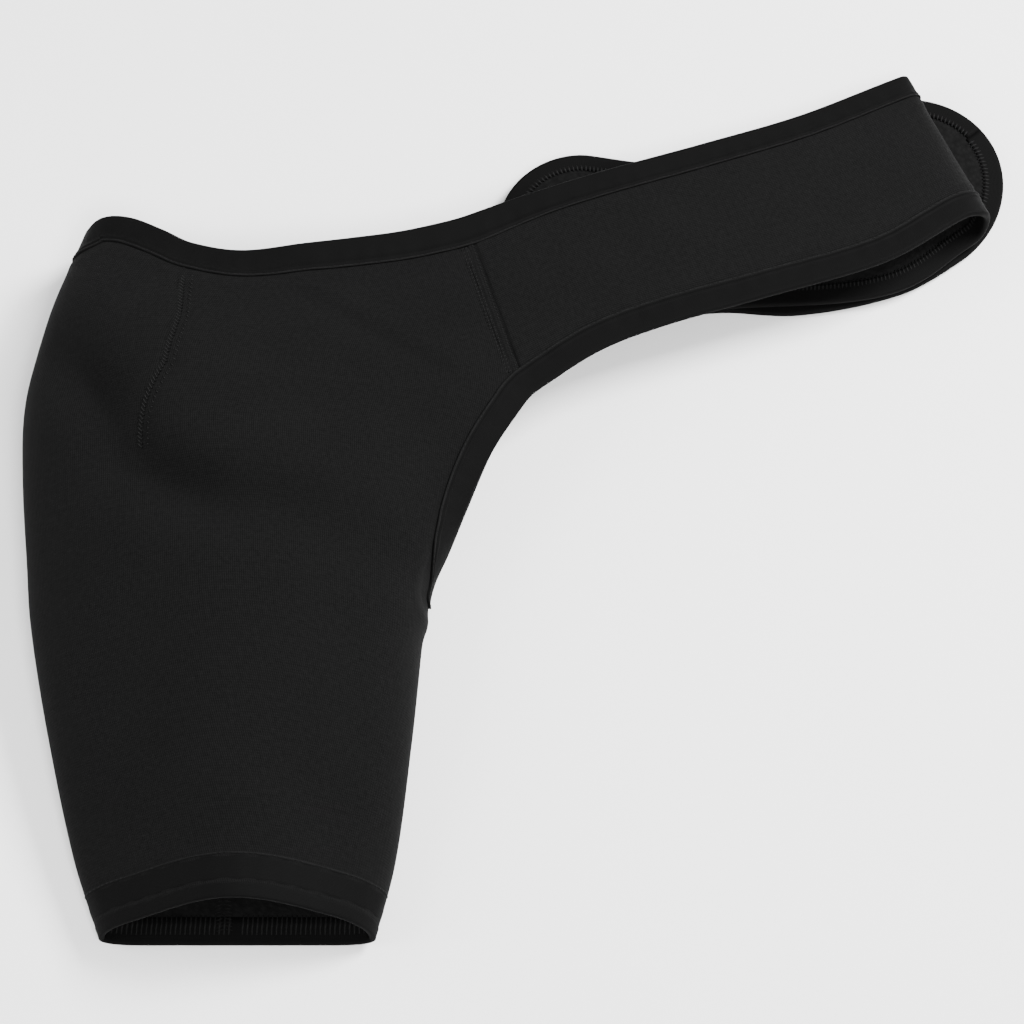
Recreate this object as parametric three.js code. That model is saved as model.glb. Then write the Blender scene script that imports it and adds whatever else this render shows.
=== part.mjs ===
// A neoprene shoulder brace, lying on its back as it would on a table, in millimetres with +Z up.
// A sleeve for the upper arm widens into a shoulder cap. From its front panel a strap runs out, folds
// under and ends in a rounded tongue, and from its back panel a shorter strap runs out beneath it.
// Folded tape binds every raw edge. Every piece is a sheet with two faces, worked out on a grid.
import * as THREE from "three";

// Sleeve and shoulder
const SLEEVE_LENGTH = 367; // from the cuff's edge to the top of the shoulder, as it lies
const CUFF_WIDTH = 135; // across the sleeve at its end
const ARM_WIDTH = 199; // across the sleeve at the armpit
const RISE = 72; // height of the sleeve's crown above the table
const BACK_TUCK = 17; // how far the back panel lies up behind the front one
const BACK_FLATTENS = 1.45; // how soon the back panel reaches the table, going in from the fold
const BACK_ROUNDS = 1.6; // how softly it does
const CUFF_LEAN = 0.28; // slope of the cuff's opening, as a share of its height

// Straps
const STRAP_WIDTH = 97; // across the strap, binding included
const FRONT_REACH = 265; // from the front seam to the fold
const BACK_REACH = 231; // from the back seam to the root of its tongue
const FRONT_TONGUE = 46; // length of the rounded end of the front strap
const BACK_TONGUE = 58; // length of the rounded end of the back strap
const SEAM_TURN = THREE.MathUtils.degToRad(111); // direction of the strap seams, from +X

// Sheets and tape
const WALL = 3; // neoprene with its two faces
const TAPE = 0.7; // one thickness of binding tape
const TAPE_WIDTH = 14; // how far the binding reaches in from the edge
const CUFF_BAND = 21; // the same, on the outside of the cuff
const ARMPIT_TAPE = 8; // the same, where the binding turns round the armpit
const CLEARANCE = 0.6; // between the neoprene and the tape round it
const GAP = 0.3; // between pieces that meet
const SEAM_CLEAR = 3; // where the tape comes onto a strap, from its seam
const HOOK_LENGTH = 62; // the hook patch that holds the two straps together
const HOOK_WIDTH = 44;
const HOOK_PLACE = 0.62; // its middle, as a share of the back strap's reach

// Fineness of the grids
const COLUMNS = 30; // cells across a section of the sleeve
const LEGS = [0.5, 1]; // places along the tape's reach
const STEP = 18; // between a strap's rows
const FOLD_STEPS = 3; // least rows between two of its table's, where they lie close
const TIP_TURNS = [18, 36, 54, 72, 90].map(THREE.MathUtils.degToRad); // rows of its rounded end

// Heights of the middle of a sheet that lies on the table, and of one that lies on that
const TAPED_HALF = WALL / 2 + CLEARANCE + TAPE;
const LAY = TAPED_HALF;
const SECOND_LAY = LAY + 2 * TAPED_HALF + GAP;

// Cross-sections of the sleeve from the cuff, at 0, to the neck edge, at 1. The fold is its outer side.
// up: height of the fold on the table, of SLEEVE_LENGTH. out, in: how far the fold and the inner side
// have gone from half of CUFF_WIDTH, of ARM_WIDTH less CUFF_WIDTH. fold, outer, crown, inner, edge:
// heights of the front panel from the fold across to its inner end, of RISE. open: where the front panel
// stops short of closing, in degrees.
const SECTIONS = [
  {
    at: 0.0, up: -0.003, out: 0.0, in: -0.03,
    fold: 0.11, outer: 0.4, crown: 0.71, inner: 0.46, edge: 0.11, open: 0,
  },
  {
    at: 0.1, up: 0.1, out: 0.215, in: 0.12,
    fold: 0.18, outer: 0.45, crown: 0.76, inner: 0.49, edge: 0.16, open: 0,
  },
  {
    at: 0.25, up: 0.27, out: 0.455, in: 0.235,
    fold: 0.27, outer: 0.59, crown: 0.86, inner: 0.61, edge: 0.23, open: 0,
  },
  {
    at: 0.38, up: 0.42, out: 0.62, in: 0.305,
    fold: 0.33, outer: 0.67, crown: 0.93, inner: 0.69, edge: 0.24, open: 0,
  },
  {
    at: 0.47, up: 0.512, out: 0.675, in: 0.35,
    fold: 0.37, outer: 0.71, crown: 0.96, inner: 0.73, edge: 0.25, open: 0,
  },
  {
    at: 0.56, up: 0.62, out: 0.735, in: 0,
    fold: 0.41, outer: 0.76, crown: 0.99, inner: 0.79, edge: 0.37, open: 8,
  },
  {
    at: 0.66, up: 0.72, out: 0.757, in: 0,
    fold: 0.44, outer: 0.8, crown: 1.0, inner: 0.8, edge: 0.5, open: 38,
  },
  {
    at: 0.76, up: 0.8, out: 0.7, in: 0,
    fold: 0.46, outer: 0.8, crown: 0.96, inner: 0.76, edge: 0.58, open: 60,
  },
  {
    at: 0.86, up: 0.885, out: 0.575, in: 0,
    fold: 0.48, outer: 0.76, crown: 0.87, inner: 0.72, edge: 0.57, open: 68,
  },
  {
    at: 1.0, up: 1.0, out: 0.33, in: 0,
    fold: 0.51, outer: 0.64, crown: 0.69, inner: 0.65, edge: 0.55, open: 75,
  },
];
const ARMPIT_AT = 0.47; // the section where the sleeve starts to open
const SEAM_AT = 0.76; // the section that reaches the foot of the strap seam

// The underarm edge from the armpit to the foot of the seam: x from the sleeve's middle line, of
// ARM_WIDTH, and height on the table, of SLEEVE_LENGTH.
const UNDERARM = [
  { at: 0.47, x: 0.45, up: 0.476 },
  { at: 0.54, x: 0.5, up: 0.53 },
  { at: 0.61, x: 0.55, up: 0.592 },
  { at: 0.69, x: 0.62, up: 0.672 },
  { at: 0.76, x: 0.716, up: 0.751 },
];
const SEAM_MIDDLE = { x: 0.6226, up: 0.885 }; // the middle of the strap seam, in the same shares

// The neck edge above its straight line, of SLEEVE_LENGTH, from the fold, at 0, to the seam, at 1
const NECK_EDGE = [
  { at: 0.0, lift: 0.0 },
  { at: 0.04, lift: 0.014 },
  { at: 0.116, lift: 0.009 },
  { at: 0.207, lift: -0.014 },
  { at: 0.288, lift: -0.037 },
  { at: 0.424, lift: -0.051 },
  { at: 0.597, lift: -0.04 },
  { at: 0.716, lift: -0.032 },
  { at: 0.855, lift: -0.02 },
  { at: 1.0, lift: 0.0 },
];

// Dents in the front panel. x: from the sleeve's middle line, of ARM_WIDTH; up: of SLEEVE_LENGTH;
// long, wide: of ARM_WIDTH; deep: of RISE; turn: direction of the long side, in degrees.
const DENTS = [
  { x: -0.39, up: 0.735, long: 0.19, wide: 0.085, deep: 0.19, turn: -55 },
  { x: -0.18, up: 0.59, long: 0.21, wide: 0.085, deep: 0.16, turn: -28 },
  { x: 0.12, up: 0.555, long: 0.2, wide: 0.095, deep: 0.12, turn: -14 },
];

// The middle line of each strap from its seam. out and side: place, of the strap's reach and of
// STRAP_WIDTH, straight out from the seam and along it. wide: of STRAP_WIDTH. high: of RISE, or null
// where the strap lies flat. turn: direction across the strap, in degrees from the seam's. tilt: slope
// across it, in degrees, negative where the lower edge stands higher.
const FRONT_STRAP = [
  { out: 0.0, side: 0.0, wide: 1.113, high: 0.565, turn: 0, tilt: -1.2 },
  { out: 0.154, side: 0.063, wide: 1.029, high: 0.537, turn: 1.4, tilt: -3.4 },
  { out: 0.308, side: 0.071, wide: 1.018, high: 0.507, turn: -1.1, tilt: -5.2 },
  { out: 0.521, side: 0.043, wide: 1.041, high: 0.465, turn: -1.7, tilt: -7.4 },
  { out: 0.754, side: 0.019, wide: 1.076, high: 0.431, turn: 2.1, tilt: -9.9 },
  { out: 0.966, side: 0.091, wide: 1.029, high: 0.375, turn: -3.4, tilt: -11.6 },
  { out: 0.99, side: 0.089, wide: 1.034, high: 0.333, turn: 0.2, tilt: -10.4 },
  { out: 0.999, side: 0.09, wide: 1.029, high: 0.244, turn: 2.1, tilt: -6.2 },
  { out: 0.988, side: 0.066, wide: 1.05, high: 0.153, turn: 0.8, tilt: -1.7 },
  { out: 0.959, side: 0.047, wide: 1.061, high: null, turn: -2.3, tilt: 0 },
  { out: 0.812, side: -0.076, wide: 1.003, high: null, turn: 1.3, tilt: 0 },
  { out: 0.73, side: -0.056, wide: 0.988, high: null, turn: -12, tilt: 0 },
  { out: 0.548, side: 0.077, wide: 0.94, high: null, turn: -22, tilt: 0 },
  { out: 0.382, side: 0.2, wide: 0.915, high: null, turn: -23.5, tilt: 0 },
  { out: 0.249, side: 0.385, wide: 0.935, high: null, turn: -22.3, tilt: 0 },
];
const BACK_STRAP = [
  { out: 0.0, side: 0.0, wide: 1.113, high: null, turn: 0, tilt: 0 },
  { out: 0.181, side: 0.026, wide: 0.941, high: null, turn: -0.5, tilt: 0 },
  { out: 0.371, side: 0.026, wide: 0.901, high: null, turn: -5.1, tilt: 0 },
  { out: 0.521, side: -0.022, wide: 0.942, high: null, turn: -10.9, tilt: 0 },
  { out: 0.708, side: -0.158, wide: 1.028, high: null, turn: -15, tilt: 0 },
  { out: 0.897, side: -0.199, wide: 1.085, high: null, turn: -2.6, tilt: 0 },
  { out: 1.0, side: -0.152, wide: 1.081, high: null, turn: 17.9, tilt: 0 },
];

// A smooth curve through a table's column: a cubic with the slope at each row taken from its neighbours.
function columnCurve(rows, name, keys = rows.map((row) => row.at)) {
  const values = rows.map((row) => row[name]);
  const last = rows.length - 1;
  const slope = (i) => {
    const before = Math.max(i - 1, 0);
    const after = Math.min(i + 1, last);
    return (values[after] - values[before]) / (keys[after] - keys[before]);
  };
  return (at) => {
    let i = 0;
    while (i < last - 1 && at > keys[i + 1]) i += 1;
    const span = keys[i + 1] - keys[i];
    const t = (at - keys[i]) / span;
    const ends = (2 * t ** 3 - 3 * t ** 2 + 1) * values[i] + (3 * t ** 2 - 2 * t ** 3) * values[i + 1];
    return ends + span * ((t ** 3 - 2 * t ** 2 + t) * slope(i) + (t ** 3 - t ** 2) * slope(i + 1));
  };
}

const section = Object.fromEntries(
  ["up", "out", "in", "fold", "outer", "crown", "inner", "edge", "open"].map((name) => [
    name,
    columnCurve(SECTIONS, name),
  ]),
);
const underarmX = columnCurve(UNDERARM, "x");
const underarmUp = columnCurve(UNDERARM, "up");
const neckLift = columnCurve(NECK_EDGE, "lift");

const seamAcross = new THREE.Vector2(Math.cos(SEAM_TURN), Math.sin(SEAM_TURN));
const seamOut = new THREE.Vector2(Math.sin(SEAM_TURN), -Math.cos(SEAM_TURN));
const seamMiddle = new THREE.Vector2(SEAM_MIDDLE.x * ARM_WIDTH, SEAM_MIDDLE.up * SLEEVE_LENGTH);
const seamHalf = (FRONT_STRAP[0].wide * STRAP_WIDTH) / 2 - TAPE - CLEARANCE;
const seamFoot = seamMiddle.clone().addScaledVector(seamAcross, -seamHalf);
const seamTop = seamMiddle.clone().addScaledVector(seamAcross, seamHalf);

// The inner end of a section: on the sleeve's side below the armpit, then along the underarm edge,
// then straight up the strap seam.
function innerEnd(at) {
  if (at <= ARMPIT_AT) {
    const half = CUFF_WIDTH / 2 + (ARM_WIDTH - CUFF_WIDTH) * section.in(at);
    const climb = at / ARMPIT_AT;
    const settle = UNDERARM[0].up / section.up(ARMPIT_AT);
    return new THREE.Vector2(half, SLEEVE_LENGTH * section.up(at) * (1 + (settle - 1) * climb));
  }
  if (at <= SEAM_AT) {
    const share = (at - ARMPIT_AT) / (SEAM_AT - ARMPIT_AT);
    const last = UNDERARM[UNDERARM.length - 1];
    const plain = new THREE.Vector2(underarmX(at) * ARM_WIDTH, underarmUp(at) * SLEEVE_LENGTH);
    const off = seamFoot.clone().sub(new THREE.Vector2(last.x * ARM_WIDTH, last.up * SLEEVE_LENGTH));
    return plain.addScaledVector(off, share ** 2);
  }
  return seamFoot.clone().lerp(seamTop, (at - SEAM_AT) / (1 - SEAM_AT));
}

// The middle of the sleeve's sheet. across runs from the front panel's inner end, at 0, round the fold,
// at 0.5, to the back panel's inner end, at 1; at runs from the cuff to the neck edge.
function sleevePoint(across, at) {
  const front = across <= 0.5;
  const open = THREE.MathUtils.degToRad(Math.max(section.open(at), 0));
  const angle = open + (Math.PI - open) * 2 * (front ? across : 1 - across);
  const fromEnd = (Math.cos(open) - Math.cos(angle)) / (1 + Math.cos(open));
  const end = innerEnd(at);
  const fold = new THREE.Vector2(
    -CUFF_WIDTH / 2 - (ARM_WIDTH - CUFF_WIDTH) * section.out(at),
    section.up(at) * SLEEVE_LENGTH,
  );
  const place = end.lerp(fold, fromEnd);
  const neckShare = THREE.MathUtils.smoothstep(at, 0.5, 1);
  place.y += neckShare * neckLift(1 - fromEnd) * SLEEVE_LENGTH;
  let z;
  if (front) {
    const heights = ["fold", "outer", "crown", "inner", "edge"].map((name, i) => ({
      at: i / 4,
      high: section[name](at),
    }));
    z = columnCurve(heights, "high")((Math.PI - angle) / (Math.PI - open)) * RISE;
    for (const dent of DENTS) {
      const turn = THREE.MathUtils.degToRad(dent.turn);
      const dx = place.x - dent.x * ARM_WIDTH;
      const dy = place.y - dent.up * SLEEVE_LENGTH;
      const along = (dx * Math.cos(turn) + dy * Math.sin(turn)) / (dent.long * ARM_WIDTH);
      const aside = (dy * Math.cos(turn) - dx * Math.sin(turn)) / (dent.wide * ARM_WIDTH);
      z -= dent.deep * RISE * Math.exp(-(along ** 2) - aside ** 2);
    }
  } else {
    const turned = Math.max(0, 1 - BACK_FLATTENS * Math.sin(angle)) ** BACK_ROUNDS;
    const side = angle > Math.PI / 2 ? section.fold(at) : section.edge(Math.min(at, ARMPIT_AT));
    z = LAY + (side * RISE - LAY) * turned;
    const tucked = THREE.MathUtils.smoothstep(at, ARMPIT_AT, SEAM_AT) * (1 - fromEnd ** 4);
    place.y += BACK_TUCK * tucked;
  }
  const lean = CUFF_LEAN * (1 - THREE.MathUtils.smoothstep(at, 0, ARMPIT_AT));
  return new THREE.Vector3(place.x, place.y + lean * (z - LAY), z);
}

// The middle of a strap's sheet. along runs in millimetres down its middle line and straight on past
// its end, aside from the middle line, positive towards the neck. heading is 1 if the strap ends going
// out and -1 if it ends coming back.
function strapSurface(rows, reach, root, flatHeight, heading) {
  const places = rows.map((row) => {
    const { x, y } = root
      .clone()
      .addScaledVector(seamOut, row.out * reach)
      .addScaledVector(seamAcross, row.side * STRAP_WIDTH);
    return { ...row, x, y, z: row.high === null ? flatHeight : Math.max(row.high * RISE, flatHeight) };
  });
  const keys = [0];
  for (let i = 1; i < places.length; i += 1) {
    keys.push(keys[i - 1] + new THREE.Vector3().copy(places[i]).distanceTo(places[i - 1]));
  }
  const end = keys[keys.length - 1];
  const [x, y, z, wide, turn, tilt] = ["x", "y", "z", "wide", "turn", "tilt"].map((name) =>
    columnCurve(places, name, keys),
  );
  const at = (along, aside) => {
    const here = Math.min(along, end);
    const past = heading * (along - here);
    const bearing = SEAM_TURN + THREE.MathUtils.degToRad(turn(here));
    const slope = THREE.MathUtils.degToRad(tilt(here));
    const flat = aside * Math.cos(slope);
    return new THREE.Vector3(
      x(here) + flat * Math.cos(bearing) + past * Math.sin(bearing),
      y(here) + flat * Math.sin(bearing) - past * Math.cos(bearing),
      z(here) + aside * Math.sin(slope),
    );
  };
  const half = (along) => (wide(Math.min(along, end)) * STRAP_WIDTH) / 2 - TAPE - CLEARANCE;
  return { at, keys, end, half, step: [0.1, 0.1] };
}

const backRoot = seamMiddle.clone().add(new THREE.Vector2(0, BACK_TUCK));

// A surface with the side that its outer face is on: 1 or -1 times the cross of its two directions.
const sleeve = { at: sleevePoint, step: [1e-3, 1e-3], outside: -1 };
const front = { ...strapSurface(FRONT_STRAP, FRONT_REACH, seamMiddle, SECOND_LAY, -1), outside: 1 };
const back = { ...strapSurface(BACK_STRAP, BACK_REACH, backRoot, LAY, 1), outside: -1 };

// The point, the two directions and the outward normal of a surface at a place on it.
function frameAt(surface, a, b) {
  const [stepA, stepB] = surface.step;
  const alongA = surface.at(a + stepA, b).sub(surface.at(a - stepA, b)).divideScalar(2 * stepA);
  const alongB = surface.at(a, b + stepB).sub(surface.at(a, b - stepB)).divideScalar(2 * stepB);
  const normal = alongA.clone().cross(alongB).multiplyScalar(surface.outside).normalize();
  return { point: surface.at(a, b), alongA, alongB, normal };
}

// How far to go from a place on a surface, as a share of one of its directions, to come a distance away
function inset(surface, a, b, toA, toB, distance) {
  const from = surface.at(a, b);
  let near = 0;
  let far = 0.4;
  for (let i = 0; i < 30; i += 1) {
    const share = (near + far) / 2;
    if (surface.at(a + toA * share, b + toB * share).distanceTo(from) < distance) near = share;
    else far = share;
  }
  return near;
}

const evenly = (from, to, count) =>
  Array.from({ length: count + 1 }, (_, i) => from + ((to - from) * i) / count);

// A closed solid between two faces given on a grid of { outer, inner } points. Points that coincide are
// one vertex, and a rim is added along every open edge. From the column crossFrom the cells are split
// along their other diagonal.
function solidOf(grid, crossFrom = Infinity) {
  const index = new Map();
  const outer = [];
  const inner = [];
  const vertex = (pair) => {
    const key = pair.outer.toArray().map((x) => Math.round(x * 1e3)).join();
    if (!index.has(key)) {
      index.set(key, outer.length);
      outer.push(pair.outer);
      inner.push(pair.inner);
    }
    return index.get(key);
  };
  const rows = grid.map((row) => row.map(vertex));
  const faces = [];
  const edges = new Set();
  for (let j = 0; j + 1 < rows.length; j += 1) {
    for (let i = 0; i + 1 < rows[j].length; i += 1) {
      const [a, b, c, d] = [rows[j][i], rows[j][i + 1], rows[j + 1][i + 1], rows[j + 1][i]];
      const halves = i < crossFrom ? [[a, b, c], [a, c, d]] : [[a, b, d], [b, c, d]];
      for (const face of halves) {
        if (new Set(face).size < 3) continue;
        faces.push(face);
        face.forEach((from, k) => edges.add(from + " " + face[(k + 1) % 3]));
      }
    }
  }
  const count = outer.length;
  const triangles = faces.flatMap(([a, b, c]) => [[a, b, c], [c + count, b + count, a + count]]);
  for (const edge of edges) {
    const [from, to] = edge.split(" ").map(Number);
    if (!edges.has(to + " " + from)) {
      triangles.push([to, from, from + count], [to, from + count, to + count]);
    }
  }
  const points = [...outer, ...inner];
  const volume = triangles.reduce(
    (sum, [a, b, c]) => sum + points[a].dot(points[b].clone().cross(points[c])),
    0,
  );
  if (volume < 0) triangles.forEach((triangle) => triangle.reverse());
  const geometry = new THREE.BufferGeometry().setFromPoints(points);
  geometry.setIndex(triangles.flat());
  geometry.computeVertexNormals();
  return geometry;
}

// Two faces either side of a surface at a place
function facesAt(surface, a, b, lean = new THREE.Vector3()) {
  const { point, normal } = frameAt(surface, a, b);
  const way = normal.add(lean).normalize();
  return {
    outer: point.clone().addScaledVector(way, WALL / 2),
    inner: point.clone().addScaledVector(way, -WALL / 2),
  };
}

// The normal of the piece on the other side of a strap seam, so that the two ends that are sewn
// together stand square to both. share runs from the foot of the seam, at 0, to the neck, at 1.
const strapNormal = (strap, share) => frameAt(strap, 0, (2 * share - 1) * seamHalf).normal;
const sleeveNormal = (across, share) => frameAt(sleeve, across, SEAM_AT + (1 - SEAM_AT) * share).normal;

// The sleeve's grid: rows from the cuff to the neck, columns from the front's inner end round to the
// back's. The first and last rows and columns stand under the ends of the tape, so that the tape, worked
// out from the same places, lies evenly on the sheet.
const armpitDrop = LEGS.map((share) => inset(sleeve, 0, ARMPIT_AT, 0, -1, share * ARMPIT_TAPE));
const cuffRise = LEGS.map((share) => inset(sleeve, 0.25, 0, 0, 1, share * CUFF_BAND));

function columnsAt(at) {
  const level = THREE.MathUtils.clamp(at, ARMPIT_AT, SEAM_AT);
  const front = LEGS.map((share) => inset(sleeve, 0, level, 1, 0, share * TAPE_WIDTH));
  const back = LEGS.map((share) => inset(sleeve, 1, level, -1, 0, share * TAPE_WIDTH));
  const between = evenly(front[1], 1 - back[1], COLUMNS - 4);
  return [0, front[0], ...between, 1 - back[0], 1];
}

const seamRise = LEGS.map((share) => inset(sleeve, 0, SEAM_AT, 0, 1, share * TAPE_WIDTH));
const neckDrop = (across) => LEGS.map((share) => inset(sleeve, across, 1, 0, -1, share * TAPE_WIDTH));

const sleeveLevels = [
  0,
  ...cuffRise,
  ...evenly(cuffRise[1], ARMPIT_AT - armpitDrop[1], 6).slice(1),
  ARMPIT_AT - armpitDrop[0],
  ...evenly(ARMPIT_AT, SEAM_AT, 7),
  ...evenly(SEAM_AT, 1, 5).slice(1, -1),
];
const neckColumns = columnsAt(1);
const sleeveRows = [
  ...sleeveLevels.map((at) => columnsAt(at).map((across) => [across, at])),
  ...[1, 0].map((leg) => neckColumns.map((across) => [across, 1 - neckDrop(across)[leg]])),
  neckColumns.map((across) => [across, 1]),
];

function sleeveBody() {
  return solidOf(
    sleeveRows.map((places) => {
      const row = places.map(([across, at]) => facesAt(sleeve, across, at));
      const at = places[0][1];
      if (at <= ARMPIT_AT) row[row.length - 1] = row[0];
      if (at >= SEAM_AT) {
        const share = (at - SEAM_AT) / (1 - SEAM_AT);
        row[0] = facesAt(sleeve, 0, at, strapNormal(front, share));
        row[row.length - 1] = facesAt(sleeve, 1, at, strapNormal(back, share));
      }
      return row;
    }),
  );
}

// Stations down a strap: each of its rows, and others between them, closer where it folds.
function stations(strap) {
  const list = [0];
  for (let i = 1; i < strap.keys.length; i += 1) {
    const span = strap.keys[i] - strap.keys[i - 1];
    const count = span < STEP ? FOLD_STEPS : Math.round(span / STEP);
    list.push(...evenly(strap.keys[i - 1], strap.keys[i], count).slice(1));
  }
  return list;
}

// The rows of a strap's sheet, { along, half }, with half an ellipse for its rounded end
function outline(strap, tongue) {
  const reach = tongue - TAPE - CLEARANCE;
  const round = TIP_TURNS.map((turn) => ({
    along: strap.end + reach * Math.sin(turn),
    half: strap.half(strap.end) * Math.cos(turn),
  }));
  return [...stations(strap).map((along) => ({ along, half: strap.half(along) })), ...round];
}

const frontRows = outline(front, FRONT_TONGUE);
const backRows = outline(back, BACK_TONGUE);

function strapSheet(strap, rows, seamEnd) {
  return solidOf(
    rows.map(({ along, half }) => {
      const under = Math.max(half - TAPE_WIDTH, half / 3);
      return [-half, -under, 0, under, half].map((aside) => {
        const lean = along > 0 ? undefined : sleeveNormal(seamEnd, (aside / half + 1) / 2);
        return facesAt(strap, Math.max(along, GAP), aside, lean);
      });
    }),
  );
}

// Stations of the tape along one edge of a strap, from clear of the seam to the tip, where it meets the
// other edge's. side is 1 for the neck's edge.
function strapEdge(strap, rows, side) {
  const clear = rows.filter(({ along }) => along > 2 * SEAM_CLEAR);
  return [{ along: SEAM_CLEAR, half: strap.half(SEAM_CLEAR) }, ...clear].map(({ along, half }) => {
    const past = Math.max(along - strap.end, 0);
    const inward = new THREE.Vector2(-past, -side * half).normalize();
    const place = (reach) => {
      const aside = side * Math.max(half, GAP / 2) + inward.y * reach;
      return [along + inward.x * reach, side * Math.max(side * aside, GAP / 2)];
    };
    return { surface: strap, edge: place(0), legs: LEGS.map((share) => place(share * TAPE_WIDTH)) };
  });
}

// The inside of the tape's fold round an edge: along the sheet's normal, away from the sheet, and the
// direction of the tape's thickness there.
const EDGE_FOLD = [
  { high: WALL / 2 + CLEARANCE, far: 0, turn: 0 },
  { high: WALL / 2, far: CLEARANCE, turn: Math.PI / 3 },
  { high: -WALL / 2, far: CLEARANCE, turn: (2 * Math.PI) / 3 },
  { high: -WALL / 2 - CLEARANCE, far: 0, turn: Math.PI },
];

// A tape folded over an edge: it reaches in from the edge on the outer face, goes round it and comes back
// on the inner face. Each station has its edge and its legs' places on a surface, and from, the place
// straight in from the edge. innerLegs is how many of the legs' places the tape reaches on the inner face.
function binding(stationList, innerLegs = LEGS.length, closed = false) {
  const stand = WALL / 2 + CLEARANCE;
  const strip = stationList.map(({ surface, edge, legs, from = legs[0] }) => {
    const here = frameAt(surface, ...edge);
    const away = here.point.clone().sub(surface.at(...from));
    away.addScaledVector(here.normal, -away.dot(here.normal)).normalize();
    const leg = (place, face) => {
      const { point, normal } = frameAt(surface, ...place);
      return [0, TAPE].map((more) => point.clone().addScaledVector(normal, face * (stand + more)));
    };
    const round = EDGE_FOLD.map(({ high, far, turn }) =>
      [0, TAPE].map((more) =>
        here.point
          .clone()
          .addScaledVector(here.normal, high + more * Math.cos(turn))
          .addScaledVector(away, far + more * Math.sin(turn)),
      ),
    );
    const path = [
      ...legs.map((place) => leg(place, 1)).reverse(),
      ...round,
      ...legs.slice(0, innerLegs).map((place) => leg(place, -1)),
    ];
    return path.map(([inner, outer]) => ({ outer, inner }));
  });
  if (closed) strip.push(strip[0]);
  // The inner legs follow the same cells of the sheet as the outer ones, in the opposite order.
  return solidOf(strip, LEGS.length + 1);
}

function neckBinding() {
  const neck = neckColumns.slice(1, -1).map((across) => ({
    surface: sleeve,
    edge: [across, 1],
    legs: neckDrop(across).map((drop) => [across, 1 - drop]),
  }));
  return binding([...strapEdge(front, frontRows, 1).reverse(), ...neck, ...strapEdge(back, backRows, 1)]);
}

function underarmBinding() {
  const rows = sleeveRows.filter((row) => row[0][1] > ARMPIT_AT && row[0][1] < SEAM_AT + 1e-6);
  const foot = rows[rows.length - 1];
  const risen = [foot[0], ...seamRise.map((rise, i) => [foot[i + 1][0], SEAM_AT + rise])];
  const frontEdge = [...rows, risen].map(([edge, ...row]) => ({
    surface: sleeve,
    edge,
    legs: row.slice(0, 2),
  }));
  const fromBack = rows.map((row) => row.slice(-3).reverse());
  const backFoot = fromBack[fromBack.length - 1];
  const backRisen = [backFoot[0], ...seamRise.map((rise, i) => [backFoot[i + 1][0], SEAM_AT + rise])];
  const backEdge = [...fromBack, backRisen].map(([edge, ...legs]) => ({ surface: sleeve, edge, legs }));
  // Round the armpit the legs turn down the sleeve's side.
  const columns = columnsAt(ARMPIT_AT);
  const [near, far] = armpitDrop;
  const below = (acrosses, drops) => ({
    surface: sleeve,
    edge: [0, ARMPIT_AT],
    legs: acrosses.map((across, i) => [across, ARMPIT_AT - drops[i]]),
    from: [0, ARMPIT_AT - near],
  });
  const corner = (first, second) => [
    below([first, second], [0, 0]),
    below([first, second], [near, near]),
    below([first, second], [near, far]),
    below([first, first], [near, far]),
  ];
  const turn = [
    ...corner(columns[1], columns[2]),
    below([0, 0], [near, far]),
    ...corner(columns[COLUMNS - 1], columns[COLUMNS - 2]).reverse(),
  ];
  return binding([
    ...strapEdge(front, frontRows, -1).reverse(),
    ...frontEdge.reverse(),
    ...turn,
    ...backEdge,
    ...strapEdge(back, backRows, -1),
  ]);
}

function cuffBinding() {
  const stationList = columnsAt(0)
    .slice(0, -1)
    .map((across) => ({ surface: sleeve, edge: [across, 0], legs: cuffRise.map((at) => [across, at]) }));
  return binding(stationList, 1, true);
}

// The hook patch: a flat plate on the back strap's upper face, under the front strap's tongue.
function hookPatch() {
  const middle = HOOK_PLACE * back.end;
  const low = LAY + WALL / 2 + GAP;
  const high = SECOND_LAY - WALL / 2 - GAP;
  const grid = evenly(middle - HOOK_LENGTH / 2, middle + HOOK_LENGTH / 2, 4).map((along) =>
    evenly(-HOOK_WIDTH / 2, HOOK_WIDTH / 2, 2).map((aside) => {
      const { x, y } = back.at(along, aside);
      return { outer: new THREE.Vector3(x, y, high), inner: new THREE.Vector3(x, y, low) };
    }),
  );
  return solidOf(grid);
}

const neopreneMaterial = new THREE.MeshStandardMaterial({ color: 0x1f1f20, roughness: 0.85, metalness: 0 });
const tapeMaterial = new THREE.MeshStandardMaterial({ color: 0x191919, roughness: 0.75, metalness: 0 });
const hookMaterial = new THREE.MeshStandardMaterial({ color: 0x101010, roughness: 0.9, metalness: 0 });

const pieces = [
  ["sleeve_body", sleeveBody(), neopreneMaterial],
  ["front_strap", strapSheet(front, frontRows, 0), neopreneMaterial],
  ["back_strap", strapSheet(back, backRows, 1), neopreneMaterial],
  ["neck_binding", neckBinding(), tapeMaterial],
  ["underarm_binding", underarmBinding(), tapeMaterial],
  ["cuff_binding", cuffBinding(), tapeMaterial],
  ["hook_patch", hookPatch(), hookMaterial],
];

const brace = new THREE.Group();
for (const [name, geometry, material] of pieces) {
  const mesh = new THREE.Mesh(geometry, material);
  mesh.name = name;
  brace.add(mesh);
}

// The origin is under the middle of the brace, on the table.
const extent = new THREE.Box3().setFromObject(brace);
const middle = extent.getCenter(new THREE.Vector3());
brace.position.set(-middle.x, -middle.y, -extent.min.z);

export default brace;
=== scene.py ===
"""The looks of a black neoprene shoulder brace that lies on its back on a table.

Every sheet is a surface worked out from a few named sizes and short tables, in metres, in the frame of
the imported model. The sheets, their folded tape, and each row of stitches are numpy grids on those
surfaces, and the finishes are node materials that follow each piece's own UV map.
"""

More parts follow.
